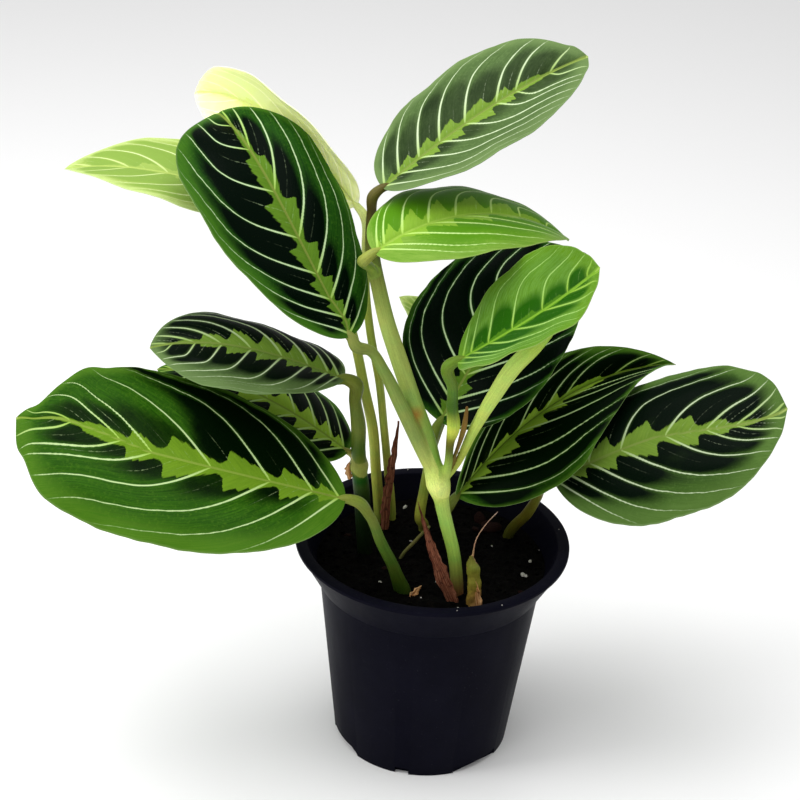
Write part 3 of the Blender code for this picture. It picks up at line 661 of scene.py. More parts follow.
def blade_mesh(leaf):
    """A closed blade with quilted fields between its veins, a groove above and a rib below."""
    bm, along, across, top = sheet(STATIONS, COLUMNS)
    place, face = blade_surface(leaf, along, across)
    read = blade_marks(leaf, along, across)
    from_edge, from_rib = read[:, 6], read[:, 7]
    quilt = QUILT * np.abs(np.sin(pi * read[:, 0])) ** 0.8 * smooth_step(0, 5, from_edge)
    quilt = quilt * smooth_step(0, 4, from_rib) * smooth_step(2, 7, read[:, 1])
    groove = GROOVE * np.exp(-(from_rib / 0.9) ** 2)
    rib = RIB * (1 - along) * np.exp(-(from_rib / 0.8) ** 2)
    half = BLADE_THICKNESS / 2 * (0.5 + 0.5 * smooth_step(0, 1.5, from_edge))
    lift = quilt + np.where(top, half - groove, -half - rib)
    return shape_sheet(bm, place + lift[:, None] * face, veining=read[:, :3], blotches=read[:, 3:6],
                       place=read[:, 6:])


def leaf_material(name, tones, gloss, shine, glow):
    """A living leaf: waxy and smooth above, so the light slides off the fields between its veins.
    Glow is how much light passes through its flesh."""
    mat, tree = new_material(name, gloss, Specular_IOR_Level=shine, Subsurface_Weight=glow,
                             Subsurface_Radius=(1.0, 1.0, 0.4), Subsurface_Scale=0.0012)
    marks = []
    for mark in ("veining", "blotches", "place"):
        read = add(tree, "Attribute", out=1, attribute_name=mark)
        marks += [add(tree, "SeparateXYZ", [read], out=k) for k in range(3)]
    count, spacing, width, out, band, dark, edge, rib, beside = marks
    here = add(tree, "TexCoord", out=3)

    # Where the point lies between two main veins, and its distance from the nearest in millimetres
    field = add(tree, "Math FRACT", [count])
    nearest = add(tree, "Math PINGPONG", [count, 0.5])
    to_vein = add(tree, "Math MULTIPLY", [nearest, spacing])

    # Fine grain that follows the side veins, and broad clouds
    grain_at = add(tree, "CombineXYZ", [count, out, beside])
    grain_scaled = add(tree, "VectorMath MULTIPLY", [grain_at, (9.0, 3.0, 0.3)])
    grain = add(tree, "TexNoise", [grain_scaled, 0, 2.2, 4, 0.6])
    dots = add(tree, "TexNoise", [here, 0, 900, 2, 0.6])
    cloud = add(tree, "TexNoise", [here, 0, 70, 3, 0.55])

    # Main veins thin out and break up towards the edge
    broken = add(tree, "Math MULTIPLY", [dots, out])
    past_vein = add(tree, "Math SUBTRACT", [to_vein, width])
    past_vein = add(tree, "Math MULTIPLY_ADD", [broken, 0.35, past_vein])
    vein = add(tree, "MapRange", [past_vein, -0.1, 0.22, 1, 0], **EASED)
    to_edge = add(tree, "MapRange", [out, 0.84, 0.98, 1, 0.15])
    vein = add(tree, "Math MULTIPLY", [vein, to_edge])
    rib_line = add(tree, "MapRange", [rib, 0.3, 0.7, 1, 0], **EASED)

    # Two thin lesser veins in each field. The outer one goes on past the band as a dotted line.
    lesser = []
    for middle, reach in ((0.3, 0.22), (0.56, 0.45)):
        off = add(tree, "Math SUBTRACT", [field, middle])
        off = add(tree, "Math ABSOLUTE", [off])
        off = add(tree, "Math MULTIPLY_ADD", [off, spacing, dots])
        line = add(tree, "MapRange", [off, 0.45, 0.66, 0.3, 0])
        fade = add(tree, "MapRange", [out, reach - 0.2, reach, 1, 0])
        some = add(tree, "MapRange", [cloud, 0.46, 0.6, 0.15, 1])
        fade = add(tree, "Math MULTIPLY", [fade, some])
        lesser.append(add(tree, "Math MULTIPLY", [line, fade]))

    # The lime band: lobes that widen across most of a field, with small teeth, and are then cut off
    # square to the midrib
    step = add(tree, "Math MULTIPLY_ADD", [grain, 0.1, beside])
    step = add(tree, "Math FRACT", [step])
    lobes = add(tree, "ValToRGB", [step], stops=[
        (0.0, 0.24), (0.1, 0.34), (0.24, 0.52), (0.36, 0.66), (0.39, 0.56), (0.56, 0.84), (0.59, 0.74),
        (0.78, 1.0), (0.8, 0.97), (0.83, 0.4), (0.9, 0.2)])
    reach = add(tree, "Math MULTIPLY", [lobes, band])
    ragged = add(tree, "Math MULTIPLY_ADD", [grain, 0.05, reach])
    past_band = add(tree, "Math SUBTRACT", [out, ragged])
    lime = add(tree, "MapRange", [past_band, -0.01, 0.015, 1, 0], **EASED)

    # Near-black blotches, mid green outside them and a paler rim
    clear = add(tree, "MapRange", [to_vein, 0.2, 1.6, 0.55, 1], **EASED)
    shade = add(tree, "Math MULTIPLY", [clear, dark])
    shade = add(tree, "Math MULTIPLY_ADD", [cloud, 0.5, shade])
    shade = add(tree, "MapRange", [shade, 0.25, 1.1, 0, 1])
    edging = add(tree, "MapRange", [edge, 0.5, EDGING, 1, 0], **EASED)
    streak = add(tree, "MapRange", [grain, 0.38, 0.66, 0, 0.7])
    speckle = add(tree, "MapRange", [dots, 0.52, 0.72, 0, 0.4])
    near_rib = add(tree, "MapRange", [rib, 1, 8.0, 0, 1])
    rim = add(tree, "MapRange", [edge, 0.1, 0.35, 0.6, 0])
    limes = lay(tree, tones["lime"], [(grain, tones["lime_deep"])])
    veins = lay(tree, tones["vein_start"], [(near_rib, tones["vein"])])
    colour = lay(tree, tones["field"], [
        (edging, tones["edge"]), (streak, tones["streak"]), (speckle, tones["edge"]),
        (shade, tones["dark"]), (lime, limes), (lesser[0], tones["vein"]), (lesser[1], tones["vein"]),
        (vein, veins), (rib_line, tones["midrib"]), (rim, tones["rim"])])

    # Pores and the fine grain catch the light; veins are a little duller than the wax between them
    pores = add(tree, "TexNoise", [here, 0, 2600, 2])
    rough = add(tree, "Math MULTIPLY_ADD", [grain, 0.16, gloss - 0.08])
    relief = add(tree, "Math MULTIPLY_ADD", [grain, 0.8, pores])
    relief = add(tree, "Math MULTIPLY_ADD", [vein, -0.8, relief])
    return dressed(mat, relief, 0.4, 0.00014, Base_Color=colour, Roughness=rough)


# Tones of a leaf: its blotches, the field between veins, the green towards the edge, streaks, the lime
# band and its deep parts, side veins out in the field and at their start, the midrib and the very rim
MATURE_LEAF = dict(dark="#020e02", field="#1f4608", edge="#486f1a", streak="#356210", lime="#719424",
                   lime_deep="#527618", vein="#b6ce92", vein_start="#98ba50", midrib="#7a9238",
                   rim="#647f40")
# The mature tones with a lighter lime band and edge, painted light for leaves that lie in shade
MATURE_LEAF_PAINTED_LIT = dict(MATURE_LEAF, lime="#96b83c", lime_deep="#7a9c2e", edge="#4c7222")
DEEP_LEAF = dict(dark="#020a04", field="#14360a", edge="#3a6218", streak="#265212", lime="#5f8226",
                 lime_deep="#436618", vein="#b0c898", vein_start="#90b050", midrib="#6f8036",
                 rim="#5c7640")
# Tones greyed to paint the sheen of light off a waxy blade
GREY_SHEEN_PAINTED_LEAF = dict(dark="#040f06", field="#435a2e", edge="#647c48", streak="#566e40", lime="#7c9a3a",
                 lime_deep="#5c7c2a", vein="#bccca6", vein_start="#9cb868", midrib="#7c9044",
                 rim="#768e5c")
# The painted grey sheen over a darker field
DARKER_GREY_SHEEN_PAINTED_LEAF = dict(GREY_SHEEN_PAINTED_LEAF, field="#34501e", edge="#567436", streak="#466428")
CURLED_LEAF = dict(dark="#1e4e06", field="#4e7820", edge="#527a12", streak="#66903c", lime="#4c7a16",
                   lime_deep="#3a6a0e", vein="#8fb460", vein_start="#80a638", midrib="#6f9a2c",
                   rim="#7c9c48")
# Its blotch tone is painted lighter, against the shade where the blade curls away from the light
LIME_LEAF = dict(dark="#4a7c12", field="#5c8a20", edge="#789a3c", streak="#4c7c18", lime="#84aa36",
                 lime_deep="#6c9428", vein="#b4d282", vein_start="#a0c456", midrib="#88aa40",
                 rim="#90a858")
LIME_BACK = dict(LIME_LEAF, dark="#6c9a38")
PALE_LEAF = dict(dark="#7c9a40", field="#9aae56", edge="#b8cc7c", streak="#86a048", lime="#98b054",
                 lime_deep="#8aa44a", vein="#c8d89a", vein_start="#b8ca7a", midrib="#a4b85e",
                 rim="#ccdaa0")
# A new leaf's own pale tones, lifted further towards white as painted light shining through it
YOUNG_LEAF_PAINTED_BRIGHT = dict(dark="#dce6a6", field="#e6eeb0", edge="#eef4c4", streak="#d6e298", lime="#dce89a",
                  lime_deep="#d0de88", vein="#f4f8d0", vein_start="#f0f4c0", midrib="#d8e096",
                  rim="#f0f4d0")
LEAF_BACK = dict(dark="#42603a", field="#5f7f46", edge="#6f8f50", streak="#6c8a52", lime="#76944c",
                 lime_deep="#6c8a44", vein="#9cb078", vein_start="#9cb070", midrib="#98aa60",
                 rim="#7f9a5e")

# Each kind of blade: its slot, its name, the tones of its upper and lower side, how rough and how
# shiny it is above, how shiny below, and how much light passes through it
KINDS = {
    "mature": ("mature_leaf", "Mature leaf", MATURE_LEAF, LEAF_BACK, 0.32, 0.02, 0.03, 0.0),
    # Mature leaf whose band and edge are painted lighter against shade
    "painted_lit": ("mature_leaf", "Sheltered leaf", MATURE_LEAF_PAINTED_LIT, LEAF_BACK, 0.32, 0.02, 0.03, 0.0),
    "deep": ("mature_leaf", "Old leaf", DEEP_LEAF, LEAF_BACK, 0.3, 0.015, 0.03, 0.0),
    # Painted grey sheen
    "grey": ("mature_leaf", "Hardened leaf", GREY_SHEEN_PAINTED_LEAF, LEAF_BACK, 0.34, 0.03, 0.03, 0.0),
    # Painted grey sheen, over a darker field
    "darker_grey": ("mature_leaf", "Tough leaf", DARKER_GREY_SHEEN_PAINTED_LEAF, LEAF_BACK, 0.32, 0.02, 0.03, 0.0),
    "curled": ("lime_leaf", "Unfurling leaf", CURLED_LEAF, LIME_BACK, 0.36, 0.03, 0.3, 0.0),
    "lime": ("lime_leaf", "Half grown leaf", LIME_LEAF, LIME_BACK, 0.36, 0.03, 0.3, 0.0),
    "pale": ("pale_leaf", "Young leaf", PALE_LEAF, PALE_LEAF, 0.45, 0.08, 0.3, 0.0),
    # Pale new leaf, painted brighter for the light through it
    "young": ("young_leaf", "New leaf", YOUNG_LEAF_PAINTED_BRIGHT, YOUNG_LEAF_PAINTED_BRIGHT, 0.5, 0.15, 0.3, 0.7),
}


def make_leaves():
    """Each blade with the finish of its kind above and a duller one below; some of these finishes are
    painted light, a grey sheen or tones lifted against shade.
    """
    finishes = {}
    for kind, (_, name, upper, lower, gloss, shine, dull, glow) in KINDS.items():
        finishes[kind] = (leaf_material(name + ", waxy upper side", upper, gloss, shine, glow),
                          leaf_material(name + ", dull lower side", lower, LOWER_GLOSS, dull, glow))
    for leaf in LEAVES:
        piece = leaf.name.replace("leaf", "blade")
        finish(piece, blade_mesh(leaf), [leaf.name], finishes[leaf.kind])


# ---------------------------------------------------------------- stalks

def whole_stalk(carried, points):
    """A stalk's points with its hidden ends. One that stands in the soil runs straight down into it,
    and one that carries a blade ends in a swollen joint and then in the rib under the blade's base."""
    x, y, z, radius, colour = points[0]
    if z == SOIL_LEVEL:
        points = [(x, y, z - ROOT_DEPTH, radius, colour)] + points
    if carried:
        leaf = next(one for one in LEAVES if one.name == carried)
        ahead = direction_of(leaf.heading, leaf.rise)
        base = np.array(leaf.base, dtype=float)
        radius = points[-1][3]
        points += [(*(base - JOINT_LENGTH * ahead), radius * JOINT_SWELL, leaf.joint),
                   (*base, radius * JOINT_END, leaf.joint)]
        run, _, normal = midrib(leaf, np.array(TAIL_REACH) / leaf.length)
        for point, up, share in zip(run, normal, TAIL_TAPER):
            points.append((*(point - radius * share * up), radius * share, leaf.joint))
    return points


def smooth_route(points):
    """A smooth curve through points, read at even steps as x, y, z, radius, red, green and blue."""
    p = np.array([[*point[:4], *linear(point[4])[:3]] for point in points])
    at = np.concatenate([[0], np.cumsum(np.linalg.norm(np.diff(p[:, :3], axis=0), axis=1))])
    slope = np.gradient(p, at, axis=0)
    reads = np.linspace(0, at[-1], max(3, round(at[-1] / STEM_STEP) + 1))
    k = np.clip(np.searchsorted(at, reads, side="right") - 1, 0, len(at) - 2)
    span = (at[k + 1] - at[k])[:, None]
    x = (reads - at[k])[:, None] / span
    return ((2 * x ** 3 - 3 * x ** 2 + 1) * p[k] + (x ** 3 - 2 * x ** 2 + x) * span * slope[k]
            + (3 * x ** 2 - 2 * x ** 3) * p[k + 1] + (x ** 3 - x ** 2) * span * slope[k + 1])


def tube(route):
    """A closed round tube along a route, with both ends rounded off."""
    turns = np.radians([30, 55, 75, 88])
    rows = [list(row) for row in route]
    for end, beside in ((route[0], route[1]), (route[-1], route[-2])):
        outward = (end[:3] - beside[:3]) / np.linalg.norm(end[:3] - beside[:3])
        cap = [[*(end[:3] + outward * end[3] * sin(a)), end[3] * cos(a)] for a in turns]
        rows = rows[::-1] + cap
    curve = bpy.data.curves.new("stalk", "CURVE")
    curve.dimensions = "3D"
    curve.bevel_depth = 1.0
    curve.bevel_resolution = (STEM_SIDES - 4) // 2
    curve.use_fill_caps = True
    spline = curve.splines.new("POLY")
    spline.points.add(len(rows) - 1)
    for point, row in zip(spline.points, rows):
        point.co = (*row[:3], 1)
        point.radius = row[3]
    bm = evaluated(curve)
    bmesh.ops.remove_doubles(bm, verts=bm.verts, dist=1e-3)
    bmesh.ops.recalc_face_normals(bm, faces=bm.faces)
    return bm


def grown_together(bms):
    """Stalks as one skin, with the creases between them filled as they are where one grows out."""
    whole = bmesh.new()
    for bm in bms:
        part = as_mesh("part", bm)
        whole.from_mesh(part)
        bpy.data.meshes.remove(part)
    bm = evaluated(as_mesh("joined", whole), "REMESH", mode="VOXEL", voxel_size=REMESH)
    for _ in range(4):
        bmesh.ops.smooth_vert(bm, verts=bm.verts, factor=0.5, use_axis_x=True, use_axis_y=True,
                              use_axis_z=True)
    return bm


def colour_stalks(bm, routes):
    """Writes each vertex's tint, and its place on the skin: across the stalk twice and along it."""
    tint_layer = bm.verts.layers.float_color.new("tint")
    skin_layer = bm.verts.layers.float_vector.new("skin")
    ahead = np.vstack([np.gradient(route[:, :3], axis=0) for route in routes])
    ahead /= np.linalg.norm(ahead, axis=1)[:, None]
    level = np.cross(ahead, (0, 1, 0))
    level /= np.linalg.norm(level, axis=1)[:, None]
    other = np.cross(ahead, level)
    run = np.concatenate([np.arange(len(route)) * STEM_STEP for route in routes])
    rows = np.vstack(routes)
    tree = KDTree(len(rows))
    for k, row in enumerate(rows):
        tree.insert(row[:3], k)
    tree.balance()
    spots = [(np.array(spot[:3]), spot[3], np.array(linear(spot[4])[:3]), spot[5]) for spot in SPOTS]
    for vert in bm.verts:
        k = tree.find(vert.co)[1]
        away = np.array(vert.co) - rows[k, :3]
        tint = np.clip(rows[k, 4:], 0, 1)
        for centre, reach, colour, strength in spots:
            share = strength * max(0.0, 1 - np.linalg.norm(np.array(vert.co) - centre) / reach)
            tint = tint + (colour - tint) * share
        vert[tint_layer] = (*tint, 1.0)
        vert[skin_layer] = Vector((away @ level[k], away @ other[k], run[k] + away @ ahead[k]))


def stalk_material():
    """Living leaf stalk: taut waxy skin over lengthwise strands, so it is streaked and half glossy."""
    mat, tree = new_material("Living stalk, waxy and finely ribbed", 0.42, Specular_IOR_Level=0.15)
    tint = add(tree, "Attribute", attribute_name="tint")
    skin = add(tree, "Attribute", out=1, attribute_name="skin")
    # Strands about half a millimetre apart, and pits along them
    stretched = add(tree, "VectorMath MULTIPLY", [skin, (1.0, 1.0, 0.035)])
    strands = add(tree, "TexNoise", [stretched, 0, 2.2, 3, 0.65])
    pits = add(tree, "TexNoise", [skin, 0, 2.4, 2])
    mottle = add(tree, "TexNoise", [skin, 0, 0.16, 2])
    value = add(tree, "MapRange", [strands, 0.3, 0.7, 0.84, 1.14])
    value = add(tree, "Math MULTIPLY_ADD", [pits, 0.4, value])
    value = add(tree, "Math SUBTRACT", [value, 0.2])
    hue = add(tree, "MapRange", [mottle, 0.3, 0.7, 0.485, 0.515])
    colour = add(tree, "HueSaturation", {"Hue": hue, "Value": value, "Color": tint})
    relief = add(tree, "Math MULTIPLY_ADD", [strands, 1.5, pits])
    return dressed(mat, relief, 0.45, 0.0003, Base_Color=colour)


def make_stalks():
    """All shoots, and the small things beside them."""
    skin = stalk_material()
    for name, stalks in SHOOTS.items():
        routes = [smooth_route(whole_stalk(carried, points)) for carried, *points in stalks]
        bms = [tube(route) for route in routes]
        bm = grown_together(bms) if len(bms) > 1 else bms[0]
        if name == "stub":
            bm.normal_update()
            for vert in bm.verts:
                if vert.co.z < STUB_TOP:
                    swell = 0.7 * noise.noise(vert.co * 0.3) + 0.12 * noise.noise(vert.co * 1.1)
                    vert.co += vert.normal * swell
        colour_stalks(bm, routes)
        piece = name.replace("stem", "stalk") if name.startswith("stem") else "dry_" + name
        finish(piece, bm, [name], [skin], sharp=80)


# ---------------------------------------------------------------- dry sheaths

def sheath_mesh(leaf):
    """A papery strip with a torn edge and lengthwise wrinkles."""
    bm, along, across, top = sheet(120, 30)
    torn = np.array([noise.noise(Vector((a * leaf.length * 0.35, np.sign(b) * 4, leaf.length)))
                     for a, b in zip(along, across)])
    place, face = blade_surface(leaf, along, across * (0.86 + 0.28 * torn * np.abs(across)))
    at = np.stack([across * leaf.width / 2, along * leaf.length, np.where(top, 0.5, 0.0)], axis=-1)
    wrinkle = np.array([noise.noise(Vector((x * 1.3, y * 0.12, 7.0))) for x, y, _ in at])
    half = np.where(top, SHEATH_THICKNESS / 2, -SHEATH_THICKNESS / 2)
    lift = WRINKLE * wrinkle * smooth_step(0, 0.1, along) + half
    return shape_sheet(bm, place + lift[:, None] * face, fibre=at)


def sheath_material(name, tones, spot):
    """Dead leaf sheath, dried to brown paper: dull, fibrous and blotched."""
    mat, tree = new_material(name, 0.75, Specular_IOR_Level=0.1)
    fibre = add(tree, "Attribute", out=1, attribute_name="fibre")
    stretched = add(tree, "VectorMath MULTIPLY", [fibre, (2.2, 0.09, 1.0)])
    strands = add(tree, "TexNoise", [stretched, 0, 1, 4, 0.7])
    blots = add(tree, "TexNoise", [fibre, 0, 0.45, 4, 0.6])
    blot = add(tree, "MapRange", [blots, 0.52, 0.66, 0, 0.75])
    brown = add(tree, "ValToRGB", [strands], stops=list(zip((0.3, 0.45, 0.58, 0.72), tones)))
    return dressed(mat, strands, 0.7, 0.0004, Base_Color=lay(tree, brown, [(blot, spot)]))


def make_sheaths():
    """The dry sheaths, and bleached husks that no CAD node stands for."""
    brown = sheath_material("Dry leaf sheath, papery", ("#2c1510", "#6c3a28", "#9a634a", "#c49472"),
                            "#2e140e")
    cream = sheath_material("Dry husk, bleached", ("#7a4c28", "#b07c48", "#d0a474", "#e6c8a0"),
                            "#6c3c1e")
    for leaf in SHEATHS + HUSKS:
        nodes, papery = ([leaf.name], brown) if leaf in SHEATHS else ([], cream)
        finish("dry_" + leaf.name, sheath_mesh(leaf), nodes, [papery, papery], sharp=70)


# ---------------------------------------------------------------- pot and soil

def revolve(profile, facets):
    """A closed turned solid from (radius, height) points that start and end on the axis."""
    bm = bmesh.new()
    verts = [bm.verts.new((r, 0, z)) for r, z in profile]
    edges = [bm.edges.new(pair) for pair in zip(verts, verts[1:])]
    bmesh.ops.spin(bm, geom=verts + edges, cent=(0, 0, 0), axis=(0, 0, 1), angle=2 * pi, steps=facets,
                   use_merge=True)
    bmesh.ops.remove_doubles(bm, verts=bm.verts, dist=1e-4)
    bmesh.ops.recalc_face_normals(bm, faces=bm.faces)
    return bm


def inside_profile():
    """The pot's inner wall from the floor up, as (radius, height)."""
    return [(BASE_RADIUS - WALL, FLOOR), (BODY_TOP_RADIUS - WALL, POT_HEIGHT - COLLAR_HEIGHT),
            (LIP_RADIUS - LIP_RING, POT_HEIGHT)]


def notch_cutter(direction, width):
    """A block that cuts the foot along a chord, from outside."""
    bm = bmesh.new()
    bmesh.ops.create_cube(bm, size=1)
    inner = BASE_RADIUS - NOTCH_DEPTH
    span = 2 * BASE_RADIUS * sin(radians(width / 2))
    bmesh.ops.scale(bm, vec=(NOTCH_BLOCK, span, 2 * NOTCH_HEIGHT), verts=bm.verts)
    bmesh.ops.translate(bm, vec=(inner + NOTCH_BLOCK / 2, 0, 0), verts=bm.verts)
    turn = Matrix.Rotation(radians(direction), 3, "Z")
    bmesh.ops.rotate(bm, cent=(0, 0, 0), matrix=turn, verts=bm.verts)
    return bpy.data.objects.new("notch", as_mesh("notch", bm))


def pot_mesh():
    """A thin tapered wall with a flared collar under a flat lip, and a flat floor with notches."""
    collar_foot = POT_HEIGHT - COLLAR_HEIGHT
    lip_foot = POT_HEIGHT - LIP_EDGE
    outside = [(0, 0), (BASE_RADIUS, 0), (BODY_TOP_RADIUS, collar_foot - COLLAR_STEP),
               (COLLAR_RADIUS, collar_foot), (LIP_RADIUS - LIP_OVERHANG, lip_foot - EDGE_ROUND),
               (LIP_RADIUS, lip_foot), (LIP_RADIUS, POT_HEIGHT)]
    bm = revolve(outside + inside_profile()[::-1] + [(0, FLOOR)], POT_FACETS)
    corners = [edge for edge in bm.edges if abs(edge.verts[0].co.z - edge.verts[1].co.z) < 1e-3
               and abs(edge.verts[0].co.xy.length - edge.verts[1].co.xy.length) < 1e-3
               and edge.calc_face_angle() > radians(20)]
    bmesh.ops.bevel(bm, geom=corners, offset=EDGE_ROUND, affect="EDGES", segments=3, profile=0.5,
                    material=-1)
    cutters = bpy.data.collections.new("cutters")
    bpy.context.scene.collection.children.link(cutters)
    for directions, width in ((WIDE_NOTCHES, WIDE_ANGLE), (NARROW_NOTCHES, NARROW_ANGLE)):
        for direction in directions:
            cutters.objects.link(notch_cutter(direction, width))
    bm = evaluated(as_mesh("pot", bm), "BOOLEAN", operation="DIFFERENCE", operand_type="COLLECTION",
                   collection=cutters, solver="EXACT")
    for cutter in list(cutters.objects):
        bpy.data.objects.remove(cutter, do_unlink=True)
    bpy.data.collections.remove(cutters)
    return bm


def pot_material():
    """Black polypropylene, thin and injection moulded: a satin face with flow marks and dust."""
    mat, tree = new_material("Black polypropylene, moulded", 0.42, Specular_IOR_Level=0.014)
    here = add(tree, "TexCoord", out=3)
    drawn = add(tree, "Mapping", {"Vector": here, "Scale": (1.0, 1.0, 0.12)})
    flow = add(tree, "TexNoise", [drawn, 0, 130, 3, 0.55])
    haze = add(tree, "TexNoise", [here, 0, 38, 4, 0.6])
    dust = add(tree, "TexNoise", [here, 0, 1500, 1])
    dust = add(tree, "MapRange", [dust, 0.74, 0.8, 0, 0.35])
    grey = add(tree, "MapRange", [haze, 0.4, 0.75, 0, 0.5])
    colour = lay(tree, "#0b0b15", [(grey, "#141420"), (dust, "#4c4c50")])
    rough = add(tree, "Math MULTIPLY_ADD", [flow, 0.22, 0.3])
    grain = add(tree, "TexNoise", [here, 0, 3500, 2])
    relief = add(tree, "Math MULTIPLY_ADD", [flow, 2.0, grain])
    return dressed(mat, relief, 0.25, 0.0002, Base_Color=colour, Roughness=rough)


def soil_height(x, y):
    """Height of the crumbly surface above the soil's mean level."""
    coarse = noise.noise(Vector((x, y, 3.0)) / LUMP_SIZE)
    fine = noise.noise(Vector((x, y, 9.0)) / (0.4 * LUMP_SIZE))
    crumb = noise.noise(Vector((x, y, 17.0)) / CRUMB_SIZE)
    return LUMP_HEIGHT * (coarse + 0.5 * fine) + CRUMB_HEIGHT * crumb


def soil_mesh():
    """The visible top of the soil and its side, down to where the roots are hidden."""
    foot, shoulder, mouth = inside_profile()
    slope = (mouth[0] - shoulder[0]) / (mouth[1] - shoulder[1])
    rim = shoulder[0] + slope * (SOIL_LEVEL - shoulder[1])
    rings = [(rim - GAP) * k / SOIL_RINGS for k in range(SOIL_RINGS + 1)]
    profile = [(0, foot[1] + GAP), (foot[0] - GAP, foot[1] + GAP), (shoulder[0] - GAP, shoulder[1])]
    profile += [(r, SOIL_LEVEL) for r in rings[::-1]]
    bm = revolve(profile, SOIL_FACETS)
    for vert in bm.verts:
        if vert.co.z > SOIL_LEVEL - GAP:
            fade = min(1.0, (rim - GAP - vert.co.xy.length) / FLAT_MARGIN)
            vert.co.z += soil_height(vert.co.x, vert.co.y) * fade
    return bm


def soil_material():
    """Damp peat: near black, matt and crumbly, with brown fibres."""
    mat, tree = new_material("Damp peat potting mix", 0.95, Specular_IOR_Level=0.05)
    here = add(tree, "TexCoord", out=3)
    lumps = add(tree, "TexNoise", [here, 0, 420, 5, 0.7])
    patches = add(tree, "TexNoise", [here, 0, 60, 3])
    fibres = add(tree, "TexVoronoi", {"Vector": here, "Scale": 240.0}, feature="DISTANCE_TO_EDGE")
    fibre = add(tree, "MapRange", [fibres, 0, 0.05, 0.35, 0])
    brown = add(tree, "MapRange", [patches, 0.55, 0.75, 0, 0.7])
    stops = [(0.35, "#010101"), (0.58, "#050403"), (0.75, "#120d0a")]
    colour = add(tree, "ValToRGB", [lumps], stops=stops)
    colour = lay(tree, colour, [(brown, "#090604"), (fibre, "#0f0a07")])
    return dressed(mat, lumps, 0.9, 0.0012, Base_Color=colour)


def grain_material(name, first, second, size, roughness):
    """Broken mineral or bark: matt, with a mottled face. Size is the mottle's in millimetres."""
    mat, tree = new_material(name, roughness, Specular_IOR_Level=0.08)
    here = add(tree, "TexCoord", out=3)
    mottle = add(tree, "TexNoise", [here, 0, 1 / (size * MM), 3])
    return dressed(mat, mottle, 0.8, size * MM / 3, Base_Color=lay(tree, first, [(mottle, second)]))


def put_grain(bm, rng, x, y, z, size, squash, fineness):
    """Adds one broken grain, turned at random and sunk to a third in what it lies on."""
    turn = Euler([rng.uniform(-0.5, 0.5), rng.uniform(-0.5, 0.5), rng.uniform(0, 2 * pi)])
    length, width = rng.uniform(0.7, 1.2), rng.uniform(0.5, 0.9)
    shape = Matrix.Diagonal((size * length, size * width, size * squash, 1))
    place = Matrix.Translation((x, y, z + size * squash * 0.3)) @ turn.to_matrix().to_4x4() @ shape
    made = bmesh.ops.create_icosphere(bm, subdivisions=fineness, radius=1, matrix=place)
    for vert in made["verts"]:
        away = vert.co - place.translation
        vert.co += away * 0.35 * noise.noise(vert.co * (1.6 / size))


def make_pot_and_soil():
    """The pot, its peat and what lies loose on it."""
    rng = random.Random(SEED)
    finish("moulded_pot", pot_mesh(), ["pot"], [pot_material()], sharp=35)
    peat = soil_material()
    finish("peat", soil_mesh(), ["soil"], [peat], sharp=80)
    white = grain_material("Expanded perlite, broken", "#c9c6be", "#8f8c84", 0.5, 0.85)
    bark = grain_material("Composted pine bark", "#210c07", "#0c0403", 0.9, 0.85)
    loose = {"perlite": (PERLITE, 0.7, 2, white), "bark_bits": (BARK, 0.35, 2, bark)}
    crumbs = []
    for _ in range(CRUMBS):
        angle, radius = rng.uniform(0, 2 * pi), CRUMB_REACH * sqrt(rng.random())
        crumbs.append((radius * cos(angle), radius * sin(angle), rng.uniform(*CRUMB_SIZES)))
    loose["loose_peat"] = (crumbs, 0.6, 1, peat)
    for name, (places, squash, fineness, mat) in loose.items():
        bm = bmesh.new()
        for x, y, size in places:
            put_grain(bm, rng, x, y, SOIL_LEVEL + soil_height(x, y), size, squash, fineness)
        if name == "perlite":
            for x, y, size in SPECKS:
                put_grain(bm, rng, x, y, POT_HEIGHT, size, squash, fineness)
        bmesh.ops.recalc_face_normals(bm, faces=bm.faces)
        finish(name, bm, [], [mat], sharp=40)


# ---------------------------------------------------------------- stage

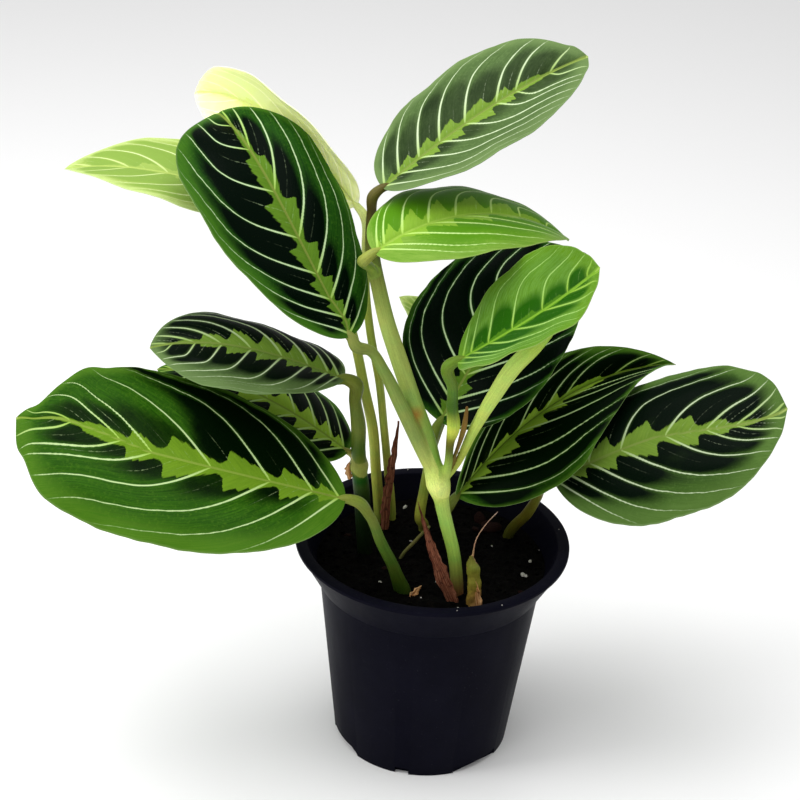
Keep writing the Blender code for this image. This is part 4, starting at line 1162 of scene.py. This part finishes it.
def make_camera():
    """The photograph's viewpoint, set from its yaw, pitch and roll."""
    yaw, pitch, roll = (radians(v) for v in (CAMERA_YAW, CAMERA_PITCH, CAMERA_ROLL))
    ahead = Vector((sin(yaw) * cos(pitch), cos(yaw) * cos(pitch), -sin(pitch)))
    right = ahead.cross(Vector((0, 0, 1))).normalized()
    up = right.cross(ahead)
    right, up = cos(roll) * right + sin(roll) * up, cos(roll) * up - sin(roll) * right
    data = bpy.data.cameras.new("camera")
    data.lens = CAMERA_LENS
    data.sensor_width = 36.0
    data.clip_start = 0.01
    camera = put("camera", data)
    turn = Matrix((right, up, -ahead)).transposed().to_4x4()
    camera.matrix_world = Matrix.Translation(Vector(CAMERA_PLACE) * MM) @ turn
    bpy.context.scene.camera = camera


def soft_light(name, place, size, power):
    """A large rectangular lamp that looks at the plant."""
    data = bpy.data.lights.new(name, "AREA")
    data.shape = "RECTANGLE"
    data.size, data.size_y = (side * MM for side in size)
    data.energy = power
    lamp = put(name, data)
    place = Vector(place)
    turn = (Vector(LIT) - place).to_track_quat("-Z", "Y").to_matrix().to_4x4()
    lamp.matrix_world = Matrix.Translation(place * MM) @ turn


def make_stage():
    """A pale floor under a white studio. Plain view colours keep the blacks as deep as they are."""
    bpy.context.scene.view_settings.view_transform = "Standard"
    bm = bmesh.new()
    bmesh.ops.create_grid(bm, x_segments=1, y_segments=1, size=FLOOR_HALF * MM)
    floor = put("floor", as_mesh("floor", bm))
    white, _ = new_material("Matt white studio floor", 0.9, Base_Color=linear("#f8f8f8"))
    floor.data.materials.append(white)
    world = bpy.data.worlds.new("studio")
    world.use_nodes = True
    light = world.node_tree.nodes["Background"].inputs
    light["Color"].default_value = linear("#ffffff")
    light["Strength"].default_value = 0.6
    bpy.context.scene.world = world
    soft_light("overhead lamp", (-150, -60, 950), (800, 800), 7.5)
    soft_light("left lamp", (-750, -250, 450), (300, 700), 3.2)


def main():
    make_camera()
    make_stage()
    make_pot_and_soil()
    make_stalks()
    make_sheaths()
    make_leaves()


main()
